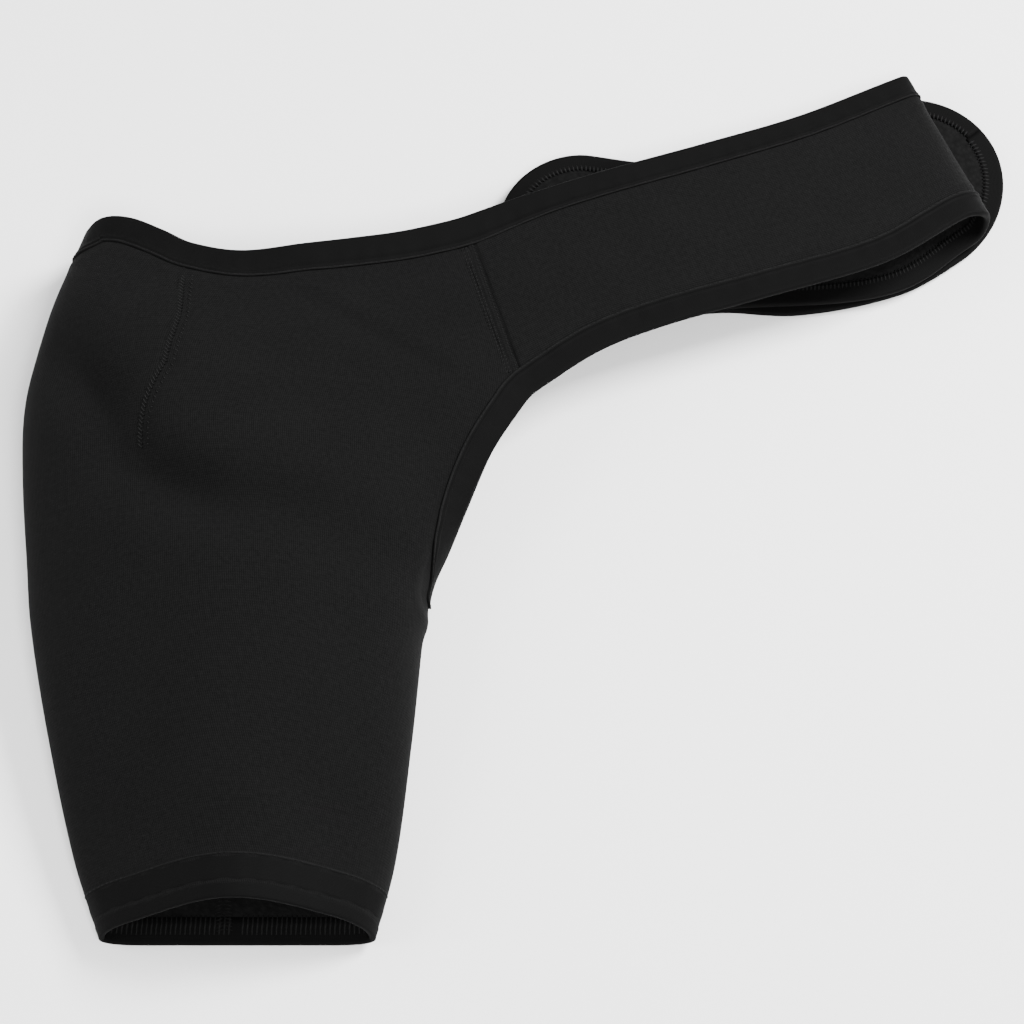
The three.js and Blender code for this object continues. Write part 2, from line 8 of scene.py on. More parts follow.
import logging
import math
from dataclasses import dataclass, field
from enum import Enum

import bpy
import numpy as np
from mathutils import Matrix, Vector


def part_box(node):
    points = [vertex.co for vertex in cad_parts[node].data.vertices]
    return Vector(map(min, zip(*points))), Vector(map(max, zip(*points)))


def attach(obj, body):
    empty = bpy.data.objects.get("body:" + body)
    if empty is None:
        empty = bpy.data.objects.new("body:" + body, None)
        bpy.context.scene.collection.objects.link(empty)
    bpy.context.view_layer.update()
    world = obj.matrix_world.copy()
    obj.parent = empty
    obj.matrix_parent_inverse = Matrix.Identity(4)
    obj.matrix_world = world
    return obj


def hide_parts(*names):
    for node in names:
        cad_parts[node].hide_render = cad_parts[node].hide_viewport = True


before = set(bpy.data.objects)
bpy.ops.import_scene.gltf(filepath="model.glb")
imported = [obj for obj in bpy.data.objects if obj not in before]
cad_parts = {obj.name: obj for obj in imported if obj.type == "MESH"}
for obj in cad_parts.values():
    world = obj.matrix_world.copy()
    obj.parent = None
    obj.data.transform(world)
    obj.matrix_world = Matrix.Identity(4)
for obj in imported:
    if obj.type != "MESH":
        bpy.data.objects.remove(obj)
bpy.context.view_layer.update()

Array = np.ndarray
Rows = list[tuple[Array, Array, Array]]  # rows of short threads: their starts, ends and normals
MM = 0.001
BLOCK = 4000  # points whose distances are worked out at once
STRIDE = 0.0015  # longest step of a walk on a surface
RIM_UV = (0, 0.002)  # from one side of a sheet's rim to the other, on the cloth
LOG = logging.getLogger("brace")


def unit(vectors: Array) -> Array:
    """Scale vectors to length one.

    Args:
        vectors: array of vectors in its last axis.

    Returns:
        The vectors divided by their lengths.
    """
    return vectors / np.maximum(np.linalg.norm(vectors, axis=-1, keepdims=True), 1e-12)


def smoothstep(x: Array, low: float, high: float) -> Array:
    """Rise smoothly from 0 at low to 1 at high: t squared times (3 less 2t).

    Args:
        x: values.
        low: where the rise starts.
        high: where it ends.

    Returns:
        The share risen at each value.
    """
    t = np.clip((x - low) / (high - low), 0, 1)
    return t * t * (3 - 2 * t)


def bell(x: Array, width: float) -> Array:
    """A bell of height 1 at 0: e to the minus (x over width) squared."""
    return np.exp(-((x / width) ** 2))


def column_curve(keys: Array, values: Array, x: Array) -> Array:
    """A smooth curve through a table's column.

    A cubic between two rows, with the slope at each row taken from its neighbours.

    Args:
        keys: the rows' places, rising.
        values: the rows' values.
        x: places to work the curve out at.

    Returns:
        The curve's values.
    """
    last = len(keys) - 1
    before = np.maximum(np.arange(last + 1) - 1, 0)
    after = np.minimum(np.arange(last + 1) + 1, last)
    slopes = (values[after] - values[before]) / (keys[after] - keys[before])
    i = np.clip(np.searchsorted(keys, x) - 1, 0, last - 1)
    span = keys[i + 1] - keys[i]
    t = (x - keys[i]) / span
    ends = (2 * t**3 - 3 * t**2 + 1) * values[i] + (3 * t**2 - 2 * t**3) * values[i + 1]
    return ends + span * ((t**3 - 2 * t**2 + t) * slopes[i] + (t**3 - t**2) * slopes[i + 1])


def distance_to_line(points: Array, line: Array) -> Array:
    """The distance from each point to the nearest of a line's closely spaced points.

    Args:
        points: any array of points.
        line: the line's points, one a row.

    Returns:
        One distance a point.
    """
    flat = points.reshape(-1, 3)
    found = np.empty(len(flat))
    for start in range(0, len(flat), BLOCK):
        part = flat[start : start + BLOCK, None, :] - line[None, :, :]
        found[start : start + BLOCK] = np.sqrt((part**2).sum(-1).min(-1))
    return found.reshape(points.shape[:-1])


def arc_length(line: Array) -> Array:
    """The length run along a line up to each of its points, from 0."""
    return np.concatenate([[0], np.cumsum(np.linalg.norm(np.diff(line, axis=0), axis=-1))])


def mean_run(grid: Array) -> Array:
    """The length run from a grid's first row up to each row, from 0: the mean over its columns."""
    return np.concatenate([[0], np.cumsum(np.linalg.norm(np.diff(grid, axis=0), axis=-1).mean(-1))])


def between(grid: Array, stops: Array, place: Array) -> Array:
    """A grid's values at places across its rows, straight between the stops.

    Args:
        grid: vectors, one row a station and one column a stop.
        stops: where the columns lie, rising.
        place: one place or one row of places a station.

    Returns:
        The values, one for each place.
    """
    share = np.interp(place, stops, np.arange(len(stops)))
    low = np.minimum(share.astype(int), len(stops) - 2)
    t = (share - low)[..., None]
    row = np.arange(len(grid)).reshape(-1, *[1] * (place.ndim - 1))
    return grid[row, low] * (1 - t) + grid[row, low + 1] * t


# The sleeve's sections, from the cuff, at 0, to the neck edge, at 1: place, how far up the table the fold
# lies, how far the fold and the inner side stand out, five heights of the front panel from the fold to its
# inner end, and the degrees by which the front panel stops short of closing. Lengths here and below are
# shares of a size in Cut: of the sleeve's length up the table, of the arm's width or what it has over the
# cuff across, and of the rise in height.
SECTIONS = np.array([
    (0.0, -0.003, 0.0, -0.03, 0.11, 0.4, 0.71, 0.46, 0.11, 0),
    (0.1, 0.1, 0.215, 0.12, 0.18, 0.45, 0.76, 0.49, 0.16, 0),
    (0.25, 0.27, 0.455, 0.235, 0.27, 0.59, 0.86, 0.61, 0.23, 0),
    (0.38, 0.42, 0.62, 0.305, 0.33, 0.67, 0.93, 0.69, 0.24, 0),
    (0.47, 0.512, 0.675, 0.35, 0.37, 0.71, 0.96, 0.73, 0.25, 0),
    (0.56, 0.62, 0.735, 0, 0.41, 0.76, 0.99, 0.79, 0.37, 8),
    (0.66, 0.72, 0.757, 0, 0.44, 0.8, 1.0, 0.8, 0.5, 38),
    (0.76, 0.8, 0.7, 0, 0.46, 0.8, 0.96, 0.76, 0.58, 60),
    (0.86, 0.885, 0.575, 0, 0.48, 0.76, 0.87, 0.72, 0.57, 68),
    (1.0, 1.0, 0.33, 0, 0.51, 0.64, 0.69, 0.65, 0.55, 75),
])
# The underarm edge: section, and place across and up.
UNDERARM = np.array([
    (0.47, 0.45, 0.476), (0.54, 0.5, 0.53), (0.61, 0.55, 0.592), (0.69, 0.62, 0.672), (0.76, 0.716, 0.751),
])
# The neck edge: share of the way from the fold to the strap seam, and how far up it stands from a line.
NECK_EDGE = np.array([
    (0.0, 0.0), (0.04, 0.014), (0.116, 0.009), (0.207, -0.014), (0.288, -0.037),
    (0.424, -0.051), (0.597, -0.04), (0.716, -0.032), (0.855, -0.02), (1.0, 0.0),
])
# Dents in the front panel: place across and up, length, width and depth, and direction in degrees.
DENTS = np.array([
    (-0.39, 0.735, 0.19, 0.085, 0.19, -55),
    (-0.18, 0.59, 0.21, 0.085, 0.16, -28),
    (0.12, 0.555, 0.2, 0.095, 0.12, -14),
])
# The straps' rows: out from the seam as a share of the reach, aside and width as shares of the strap's
# width, height or NaN where it lies flat, and turn and tilt in degrees.
FLAT = math.nan
FRONT_ROWS = np.array([
    (0.0, 0.0, 1.113, 0.565, 0, -1.2), (0.154, 0.063, 1.029, 0.537, 1.4, -3.4),
    (0.308, 0.071, 1.018, 0.507, -1.1, -5.2), (0.521, 0.043, 1.041, 0.465, -1.7, -7.4),
    (0.754, 0.019, 1.076, 0.431, 2.1, -9.9), (0.966, 0.091, 1.029, 0.375, -3.4, -11.6),
    (0.99, 0.089, 1.034, 0.333, 0.2, -10.4), (0.999, 0.09, 1.029, 0.244, 2.1, -6.2),
    (0.988, 0.066, 1.05, 0.153, 0.8, -1.7), (0.959, 0.047, 1.061, FLAT, -2.3, 0),
    (0.812, -0.076, 1.003, FLAT, 1.3, 0), (0.73, -0.056, 0.988, FLAT, -12, 0),
    (0.548, 0.077, 0.94, FLAT, -22, 0), (0.382, 0.2, 0.915, FLAT, -23.5, 0),
    (0.249, 0.385, 0.935, FLAT, -22.3, 0),
])
BACK_ROWS = np.array([
    (0.0, 0.0, 1.113, FLAT, 0, 0), (0.181, 0.026, 0.941, FLAT, -0.5, 0), (0.371, 0.026, 0.901, FLAT, -5.1, 0),
    (0.521, -0.022, 0.942, FLAT, -10.9, 0), (0.708, -0.158, 1.028, FLAT, -15, 0),
    (0.897, -0.199, 1.085, FLAT, -2.6, 0), (1.0, -0.152, 1.081, FLAT, 17.9, 0),
])


@dataclass(frozen=True)
class Cut:
    """The sizes that every piece of the brace is made from, in metres."""

    sleeve_length: float = 0.367
    cuff_width: float = 0.135
    arm_width: float = 0.199
    rise: float = 0.072
    back_tuck: float = 0.017
    cuff_lean: float = 0.28
    strap_width: float = 0.097
    front_reach: float = 0.265
    back_reach: float = 0.231
    front_tongue: float = 0.046
    back_tongue: float = 0.058
    seam_turn: float = math.radians(111)
    wall: float = 0.003
    tape: float = 0.0007
    tape_width: float = 0.014
    neck_width: float = 0.0165
    inner_width: float = 0.0095
    cuff_band: float = 0.021
    clearance: float = 0.0006
    gap: float = 0.0003
    armpit: float = 0.47
    armpit_round: float = 0.04
    seam: float = 0.76
    seam_x: float = 0.6226
    seam_up: float = 0.885
    back_flattens: float = 1.45
    back_rounds: float = 1.6
    crease_deep: float = 0.0011
    crease_wide: float = 0.0055
    crease_from: tuple[float, float] = (0.07, 0.905)
    crease_to: tuple[float, float] = (0.59, 0.748)
    crease_rises: tuple[float, float] = (-0.05, 0.2)
    crease_falls: tuple[float, float] = (0.75, 1.05)
    crease_lip: tuple[float, float, float] = (0.7, 0.008, 0.007)

    @property
    def lay(self) -> float:
        """Height of the middle of a taped sheet that lies on the table."""
        return self.wall / 2 + self.clearance + self.tape

    @property
    def second_lay(self) -> float:
        """Height of the middle of a taped sheet that lies on another."""
        return 3 * self.lay + self.gap

    @property
    def seam_across(self) -> Array:
        """Direction up the strap seams, on the table."""
        return np.array([math.cos(self.seam_turn), math.sin(self.seam_turn)])

    @property
    def seam_out(self) -> Array:
        """Direction straight out from the strap seams, on the table."""
        return np.array([math.sin(self.seam_turn), -math.cos(self.seam_turn)])

    @property
    def seam_middle(self) -> Array:
        """The middle of the front strap's seam, on the table."""
        return np.array([self.seam_x * self.arm_width, self.seam_up * self.sleeve_length])

    @property
    def seam_half(self) -> float:
        """Half the length of a strap seam, tape left off."""
        return FRONT_ROWS[0, 2] * self.strap_width / 2 - self.tape - self.clearance


class Form:
    """The middle surface of a sheet: a point for each pair of parameters."""

    outside: float = 1.0
    step: tuple[float, float] = (1e-3, 1e-3)

    def point(self, a: Array, b: Array) -> Array:
        """The surface's point at parameters a and b."""
        raise NotImplementedError

    def frame(self, a: Array, b: Array) -> tuple[Array, Array, Array, Array]:
        """Point, two directions and outward normal, by central differences and their cross product.

        Args:
            a: first parameter.
            b: second parameter.

        Returns:
            The point, the derivatives along a and b, and the unit normal on the outer side.
        """
        h, k = self.step
        along_a = (self.point(a + h, b) - self.point(a - h, b)) / (2 * h)
        along_b = (self.point(a, b + k) - self.point(a, b - k)) / (2 * k)
        normal = unit(np.cross(along_a, along_b)) * self.outside
        return self.point(a, b), along_a, along_b, normal

    def walk(self, a: Array, b: Array, into: Array, stops: Array) -> tuple[Array, Array]:
        """Walk on the surface from each start, straight towards into.

        Each step goes a short way along into, laid onto the tangent plane. The change of the two
        parameters solves the two by two system of the directions' dot products.

        Args:
            a: first parameters of the starts.
            b: second parameters of the starts.
            into: a direction for each start.
            stops: distances to report, rising from 0.

        Returns:
            Points and normals at the stops, both of shape (starts, stops, 3).
        """
        points, normals = [], []
        run = 0.0
        for stop in stops:
            count = max(1, math.ceil((stop - run) / STRIDE)) if stop > run else 0
            for _ in range(count):
                _, p, q, normal = self.frame(a, b)
                way = unit(into - (into * normal).sum(-1, keepdims=True) * normal)
                way = way * (stop - run) / count
                pp, pq, qq = (p * p).sum(-1), (p * q).sum(-1), (q * q).sum(-1)
                wp, wq = (way * p).sum(-1), (way * q).sum(-1)
                flat = np.maximum(pp * qq - pq * pq, 1e-14)
                a = a + (wp * qq - wq * pq) / flat
                b = b + (wq * pp - wp * pq) / flat
            run = max(run, stop)
            here, _, _, normal = self.frame(a, b)
            points.append(here)
            normals.append(normal)
        return np.stack(points, 1), np.stack(normals, 1)


@dataclass
class SleeveForm(Form):
    """The sleeve and shoulder cap.

    The first parameter runs from the front panel's inner end, at 0, round the outer fold, at a half, to
    the back panel's inner end, at 1. The second runs from the cuff, at 0, to the neck edge, at 1.
    """

    cut: Cut
    shift: Array = field(default_factory=lambda: np.zeros(3))
    outside: float = -1.0

    def inner_end(self, at: Array) -> Array:
        """Where the sections end on the inner side.

        Below the armpit it is the sleeve's side, then the underarm edge, then the strap seam.

        Args:
            at: sections.

        Returns:
            Places on the table, in the last axis.
        """
        c = self.cut
        up, inward = (column_curve(SECTIONS[:, 0], SECTIONS[:, i], at) for i in (1, 3))
        foot = c.seam_middle - c.seam_across * c.seam_half
        top = c.seam_middle + c.seam_across * c.seam_half
        settle = UNDERARM[0, 2] / SECTIONS[4, 1]
        side = np.stack([
            c.cuff_width / 2 + (c.arm_width - c.cuff_width) * inward,
            c.sleeve_length * up * (1 + (settle - 1) * at / c.armpit),
        ], -1)
        share = (at - c.armpit) / (c.seam - c.armpit)
        off = foot - UNDERARM[-1, 1:] * (c.arm_width, c.sleeve_length)
        under = np.stack([
            column_curve(UNDERARM[:, 0], UNDERARM[:, 1], at) * c.arm_width,
            column_curve(UNDERARM[:, 0], UNDERARM[:, 2], at) * c.sleeve_length,
        ], -1) + off * (share**2)[..., None]
        seam = foot + (top - foot) * ((at - c.seam) / (1 - c.seam))[..., None]
        low, middle = (at <= c.armpit)[..., None], (at <= c.seam)[..., None]
        return np.where(low, side, np.where(middle, under, seam))

    def rounded_end(self, at: Array) -> Array:
        """The inner ends with the corner at the armpit rounded off.

        Within a short way of the armpit they lie on the curve of second degree whose control points
        are the two places where it starts and ends and the corner itself.

        Args:
            at: sections.

        Returns:
            Places on the table, in the last axis.
        """
        middle, reach = self.cut.armpit, self.cut.armpit_round
        t = ((at - middle + reach) / (2 * reach))[..., None]
        first, corner, last = (self.inner_end(np.array(middle + x)) for x in (-reach, 0.0, reach))
        curve = (1 - t) ** 2 * first + 2 * t * (1 - t) * corner + t**2 * last
        return np.where((t > 0) & (t < 1), curve, self.inner_end(at))

    def dents(self, x: Array, y: Array) -> Array:
        """How far the front panel is pressed in: a sum of long bells, and the crease below the neck."""
        c = self.cut
        deep = np.zeros_like(x)
        for place, up, long, wide, depth, turn in DENTS:
            t = math.radians(turn)
            dx, dy = x - place * c.arm_width, y - up * c.sleeve_length
            along = (dx * math.cos(t) + dy * math.sin(t)) / (long * c.arm_width)
            aside = (dy * math.cos(t) - dx * math.sin(t)) / (wide * c.arm_width)
            deep = deep + depth * c.rise * np.exp(-(along**2) - aside**2)
        start = np.array(c.crease_from) * (c.arm_width, c.sleeve_length)
        end = np.array(c.crease_to) * (c.arm_width, c.sleeve_length)
        way = (end - start) / np.linalg.norm(end - start)
        dx, dy = x - start[0], y - start[1]
        run = (dx * way[0] + dy * way[1]) / np.linalg.norm(end - start)
        aside = dy * way[0] - dx * way[1]
        fade = smoothstep(run, *c.crease_rises) * (1 - smoothstep(run, *c.crease_falls))
        share, away, wide = c.crease_lip
        return deep + fade * c.crease_deep * (bell(aside, c.crease_wide) - share * bell(aside - away, wide))

    def point(self, a: Array, b: Array) -> Array:
        """The sheet's middle at each pair.

        In plan, a section is a line from its inner end to the fold, shared out by the cosine of an
        angle. The front panel's height is a cubic through five heights less the dents. The back
        panel's falls from its ends to the table as a power of one less a sine.

        Args:
            a: place across the section.
            b: the section.

        Returns:
            Points in the last axis.
        """
        c = self.cut
        across, at = np.broadcast_arrays(np.asarray(a, float), np.asarray(b, float))
        closed = at <= c.armpit
        across = np.where(closed & (across < 0), across + 1, across)
        across = np.where(closed & (across > 1), across - 1, across)
        up, out, fold, outer, crown, inner, edge, opened = (
            column_curve(SECTIONS[:, 0], SECTIONS[:, i], at) for i in (1, 2, 4, 5, 6, 7, 8, 9)
        )
        front = across <= 0.5
        short = np.radians(np.maximum(opened, 0))
        angle = short + (math.pi - short) * 2 * np.where(front, across, 1 - across)
        from_end = (np.cos(short) - np.cos(angle)) / (1 + np.cos(short))
        side = np.stack([-c.cuff_width / 2 - (c.arm_width - c.cuff_width) * out, up * c.sleeve_length], -1)
        end = self.rounded_end(at)
        place = end + (side - end) * from_end[..., None]
        lift = column_curve(NECK_EDGE[:, 0], NECK_EDGE[:, 1], 1 - from_end)
        x, y = place[..., 0], place[..., 1] + smoothstep(at, 0.5, 1) * lift * c.sleeve_length
        share = (math.pi - angle) / (math.pi - short)
        knots = np.linspace(0, 1, 5)
        heights = enumerate((fold, outer, crown, inner, edge))
        high = sum(column_curve(knots, np.eye(5)[i], share) * value for i, value in heights)
        rises = high * c.rise - self.dents(x, y)
        turned = np.maximum(0, 1 - c.back_flattens * np.sin(angle)) ** c.back_rounds
        low_edge = column_curve(SECTIONS[:, 0], SECTIONS[:, 8], np.minimum(at, c.armpit))
        lies = c.lay + (np.where(angle > math.pi / 2, fold, low_edge) * c.rise - c.lay) * turned
        z = np.where(front, rises, lies)
        y = y + np.where(front, 0, c.back_tuck * smoothstep(at, c.armpit, c.seam) * (1 - from_end**4))
        y = y + c.cuff_lean * (1 - smoothstep(at, 0, c.armpit)) * (z - c.lay)
        return np.stack([x, y, z], -1) + self.shift


@dataclass
class StrapForm(Form):
    """A strap: metres along its middle line, and metres aside from it, positive towards the neck.

    The middle line, the width, the direction across and the tilt are cubics through the table's rows,
    and past the last row the strap runs straight on.
    """

    cut: Cut
    rows: Array
    reach: float
    root: Array
    flat_height: float
    heading: float
    tongue: float
    outside: float
    shift: Array = field(default_factory=lambda: np.zeros(3))
    step: tuple[float, float] = (1e-4, 1e-4)

    def __post_init__(self) -> None:
        """Place the rows, and key them by the length run between them."""
        c = self.cut
        out, aside = self.rows[:, :1] * self.reach, self.rows[:, 1:2] * c.strap_width
        place = self.root + out * c.seam_out + aside * c.seam_across
        high = np.where(np.isnan(self.rows[:, 3]), 0, self.rows[:, 3]) * c.rise
        self.middle = np.column_stack([place, np.maximum(high, self.flat_height)])
        self.keys = arc_length(self.middle)
        self.end = self.keys[-1]

    def half(self, along: Array) -> Array:
        """Half the sheet's width at each place along it, tape left off."""
        wide = column_curve(self.keys, self.rows[:, 2], np.minimum(along, self.end))
        return wide * self.cut.strap_width / 2 - self.cut.tape - self.cut.clearance

    def point(self, a: Array, b: Array) -> Array:
        """The sheet's middle: the middle line's point, gone aside along the tilted direction across.

        Args:
            a: metres along.
            b: metres aside.

        Returns:
            Points in the last axis.
        """
        along, aside = np.broadcast_arrays(np.asarray(a, float), np.asarray(b, float))
        here = np.minimum(along, self.end)
        past = self.heading * (along - here)
        columns = (*self.middle.T, self.rows[:, 4], self.rows[:, 5])
        x, y, z, turn, tilt = (column_curve(self.keys, values, here) for values in columns)
        bearing, slope = self.cut.seam_turn + np.radians(turn), np.radians(tilt)
        flat = aside * np.cos(slope)
        return np.stack([
            x + flat * np.cos(bearing) + past * np.sin(bearing),
            y + flat * np.sin(bearing) - past * np.cos(bearing),
            z + aside * np.sin(slope),
        ], -1) + self.shift

    def edge(self, side: float, count: int) -> tuple[Array, Array]:
        """The raw edge on one side, from the seam to just past the tip of the rounded end, half an ellipse.

        Args:
            side: 1 for the neck's edge, -1 for the other.
            count: points down the strap.

        Returns:
            Both parameters along the edge.
        """
        reach = self.tongue - self.cut.tape - self.cut.clearance
        turn = np.radians(np.linspace(2, 92, 46))
        down = np.linspace(0, self.end, count)
        along = np.concatenate([down, self.end + reach * np.sin(turn)])
        aside = np.concatenate([self.half(down), self.half(np.array(self.end)) * np.cos(turn)])
        return along, side * aside


class Wire:
    """A node socket whose Python operators add Math nodes."""

    def __init__(self, graph: "Graph", socket: bpy.types.NodeSocket) -> None:
        """Keep the graph and the socket that carries the value."""
        self.graph = graph
        self.socket = socket

    def _math(self, operation: str, *values: "Wire | float") -> "Wire":
        """Add a Math node of an operation on values, and give its result."""
        return self.graph.wire("ShaderNodeMath", {"operation": operation}, dict(enumerate(values)))

    def __add__(self, other: "Wire | float") -> "Wire":
        """Sum."""
        return self._math("ADD", self, other)

    def __sub__(self, other: "Wire | float") -> "Wire":
        """Difference."""
        return self._math("SUBTRACT", self, other)

    def __rsub__(self, other: float) -> "Wire":
        """Difference, reflected."""
        return self._math("SUBTRACT", other, self)

    def __mul__(self, other: "Wire | float") -> "Wire":
        """Product."""
        return self._math("MULTIPLY", self, other)

    def __truediv__(self, other: "Wire | float") -> "Wire":
        """Quotient."""
        return self._math("DIVIDE", self, other)

    def __pow__(self, other: float) -> "Wire":
        """Power."""
        return self._math("POWER", self, other)

    def __abs__(self) -> "Wire":
        """Size without sign."""
        return self._math("ABSOLUTE", self)

    def sine(self) -> "Wire":
        """Sine of an angle in radians."""
        return self._math("SINE", self)

    def fraction(self) -> "Wire":
        """What is over the whole number below."""
        return self._math("FRACT", self)

    def least(self, other: "Wire | float") -> "Wire":
        """The lesser of two values."""
        return self._math("MINIMUM", self, other)

    def most(self, other: "Wire | float") -> "Wire":
        """The greater of two values."""
        return self._math("MAXIMUM", self, other)


class Graph:
    """A material's node tree, with the few ways of adding to it that the finishes need."""

    def __init__(self, name: str) -> None:
        """Start a material of a name with an empty tree."""
        self.material = bpy.data.materials.new(name)
        self.material.use_nodes = True
        self.tree = self.material.node_tree
        self.tree.nodes.clear()

    def node(self, kind: str, settings: dict, inputs: dict) -> bpy.types.Node:
        """Add a node.

        Args:
            kind: the node's type.
            settings: its properties, set first.
            inputs: values or wires by socket name or number.

        Returns:
            The node.
        """
        made = self.tree.nodes.new(kind)
        for name, value in settings.items():
            setattr(made, name, value)
        for key, value in inputs.items():
            if isinstance(value, Wire):
                self.tree.links.new(value.socket, made.inputs[key])
            else:
                made.inputs[key].default_value = value
        return made

    def wire(self, kind: str, settings: dict, inputs: dict, output: str | int = 0) -> Wire:
        """Add a node and give one of its outputs as a wire."""
        return Wire(self, self.node(kind, settings, inputs).outputs[output])

    def shade(self, factor: Wire, level: float, contrast: tuple[float, float]) -> Wire:
        """A grey between two multiples of a level: the first where factor is 0, the second at 1."""
        dark, pale = ((level * share,) * 3 + (1,) for share in contrast)
        return self.wire("ShaderNodeMix", {"data_type": "RGBA"}, {0: factor, 6: dark, 7: pale}, 2)

    def noise(self, place: Wire, scale: float, detail: float, rough: float = 0.5) -> Wire:
        """Smooth noise from 0 to 1 of a scale in bumps a metre."""
        inputs = {"Vector": place, "Scale": scale, "Detail": detail, "Roughness": rough}
        return self.wire("ShaderNodeTexNoise", {}, inputs)

    def cloth_uv(self) -> tuple[Wire, Wire, Wire]:
        """The piece's UV map, in metres on the cloth, with its two parts."""
        uv = self.wire("ShaderNodeUVMap", {"uv_map": "Cloth"}, {})
        parts = self.node("ShaderNodeSeparateXYZ", {}, {0: uv})
        return uv, Wire(self, parts.outputs[0]), Wire(self, parts.outputs[1])

    def object_place(self) -> Wire:
        """Object coordinates, in metres."""
        return self.wire("ShaderNodeTexCoord", {}, {}, "Object")

    def finish(
        self, colour: Wire, rough: Wire, height: Wire, depth: float, sockets: dict
    ) -> bpy.types.Material:
        """End the tree in a principled shader.

        Args:
            colour: base colour.
            rough: roughness.
            height: the relief, about 0 to 1.
            depth: the relief's depth in metres.
            sockets: constants set on the shader itself.

        Returns:
            The material.
        """
        bump = self.wire("ShaderNodeBump", {}, {"Strength": 1.0, "Distance": depth, "Height": height})
        inputs = {"Base Color": colour, "Roughness": rough, "Normal": bump, **sockets}
        shader = self.wire("ShaderNodeBsdfPrincipled", {}, inputs)
        self.node("ShaderNodeOutputMaterial", {}, {"Surface": shader})
        return self.material


MATT = {"Specular IOR Level": 0.03}


@dataclass(frozen=True)
class KnitFace:
    """The jersey on the neoprene's outer face: fine wales of small loops, matt, with a faint nap."""

    name: str = "neoprene_jersey"
    level: float = 0.0027
    contrast: tuple[float, float] = (0.12, 2.1)
    pitch: float = 0.00105
    depth: float = 0.0002

    def make(self) -> bpy.types.Material:
        """Build the material.

        The relief is a row of rounded wales, each broken into loops whose two legs lean towards each
        other, under a soft noise. The colour is darkened between the wales as painted shade, and mottled
        by noise.

        Returns:
            The material.
        """
        g = Graph(self.name)
        uv, u, v = g.cloth_uv()
        wander = g.noise(uv, scale=160.0, detail=2.0)
        wale = abs((u / self.pitch + wander * 0.35).fraction() - 0.5) * 2.0
        loop = (v * (2 * math.pi / (self.pitch * 1.25)) + wale * 2.4).sine() * 0.5 + 0.5
        relief = (1.0 - wale * wale) * (loop * 0.45 + 0.55)
        fuzz = g.noise(uv, scale=1900.0, detail=3.0, rough=0.7)
        cloud = g.noise(uv, scale=26.0, detail=4.0, rough=0.55)
        grain = g.noise(uv, scale=420.0, detail=3.0, rough=0.6)
        # Painted shade: the tone follows the relief, darker between the wales and between the loops; fuzz,
        # cloud and grain add random tone.
        tone = (relief * 0.5 + fuzz * 0.26 + cloud * 0.24 + grain * 0.62 - 0.22).least(1.0).most(0.0)
        colour = g.shade(tone, self.level, self.contrast)
        rough = fuzz * 0.16 + cloud * 0.08 + 0.74
        sockets = {**MATT, "Sheen Weight": 0.012, "Sheen Roughness": 0.5}
        return g.finish(colour, rough, relief * 0.75 + fuzz * 0.5, self.depth, sockets)


@dataclass(frozen=True)
class LiningFace:
    """The lining on the neoprene's inner face: darker, with small soft bumps."""

    name: str = "neoprene_lining"
    level: float = 0.0042
    contrast: tuple[float, float] = (0.5, 1.6)
    depth: float = 0.0004

    def make(self) -> bpy.types.Material:
        """Build the material: rounded cells of two sizes, with painted shade darker between them.

        Returns:
            The material.
        """
        g = Graph(self.name)
        uv, _, _ = g.cloth_uv()
        inputs = {"Vector": uv, "Scale": 420.0, "Smoothness": 0.6}
        cells = g.wire("ShaderNodeTexVoronoi", {"feature": "SMOOTH_F1"}, inputs)
        fuzz = g.noise(uv, scale=1400.0, detail=3.0, rough=0.7)
        relief = (1.0 - cells) * 0.8 + fuzz * 0.4
        # Painted shade: the colour follows the relief, darker between the cells; the fuzz adds random tone.
        colour = g.shade((relief * 0.8).least(1.0), self.level, self.contrast)
        return g.finish(colour, fuzz * 0.15 + 0.78, relief, self.depth, MATT)


@dataclass(frozen=True)
class TapeFace:
    """Knitted binding tape: fine ribs along it, smoother and a shade darker than the neoprene."""

    name: str = "binding_tape"
    level: float = 0.0021
    contrast: tuple[float, float] = (0.6, 3.1)
    pitch: float = 0.0007
    # Where the painted highlight lies across the tape, in from its folded edge, and how wide it is.
    painted_highlight_at: float = 0.0007
    painted_highlight_wide: float = 0.0010
    depth: float = 0.00009

    def make(self) -> bpy.types.Material:
        """Build the material: ribs along the tape crossed by finer courses, with a painted highlight paler
        along its edge and painted shade between the ribs.

        Returns:
            The material.
        """
        g = Graph(self.name)
        uv, u, v = g.cloth_uv()
        sway = g.noise(uv, scale=90.0, detail=2.0)
        ribs = (v * (2 * math.pi / self.pitch) + sway * 5.0).sine() * 0.5 + 0.5
        courses = (u * (2 * math.pi / (self.pitch * 1.4)) + ribs * 1.2).sine() * 0.5 + 0.5
        fuzz = g.noise(uv, scale=1700.0, detail=3.0, rough=0.65)
        rub = g.noise(uv, scale=45.0, detail=4.0, rough=0.6)
        relief = ribs * 0.5 + courses * 0.3 + fuzz * 0.4
        # Painted highlight: a paler band just inside the tape's folded edge, where its raised rim catches the
        # light. Painted shade: the tone follows the ribs' relief, darker between them. The rub noise is
        # random tone.
        ridge = (1.0 - abs(v - self.painted_highlight_at) / self.painted_highlight_wide).most(0.0)
        tone = ((relief * 0.45 + rub * 0.6).least(1.0) * 0.34 + ridge * (rub * 0.5 + 0.4)).least(1.0)
        colour = g.shade(tone, self.level, self.contrast)
        rough = fuzz * 0.12 + rub * 0.1 + 0.6
        return g.finish(colour, rough, relief, self.depth, MATT)


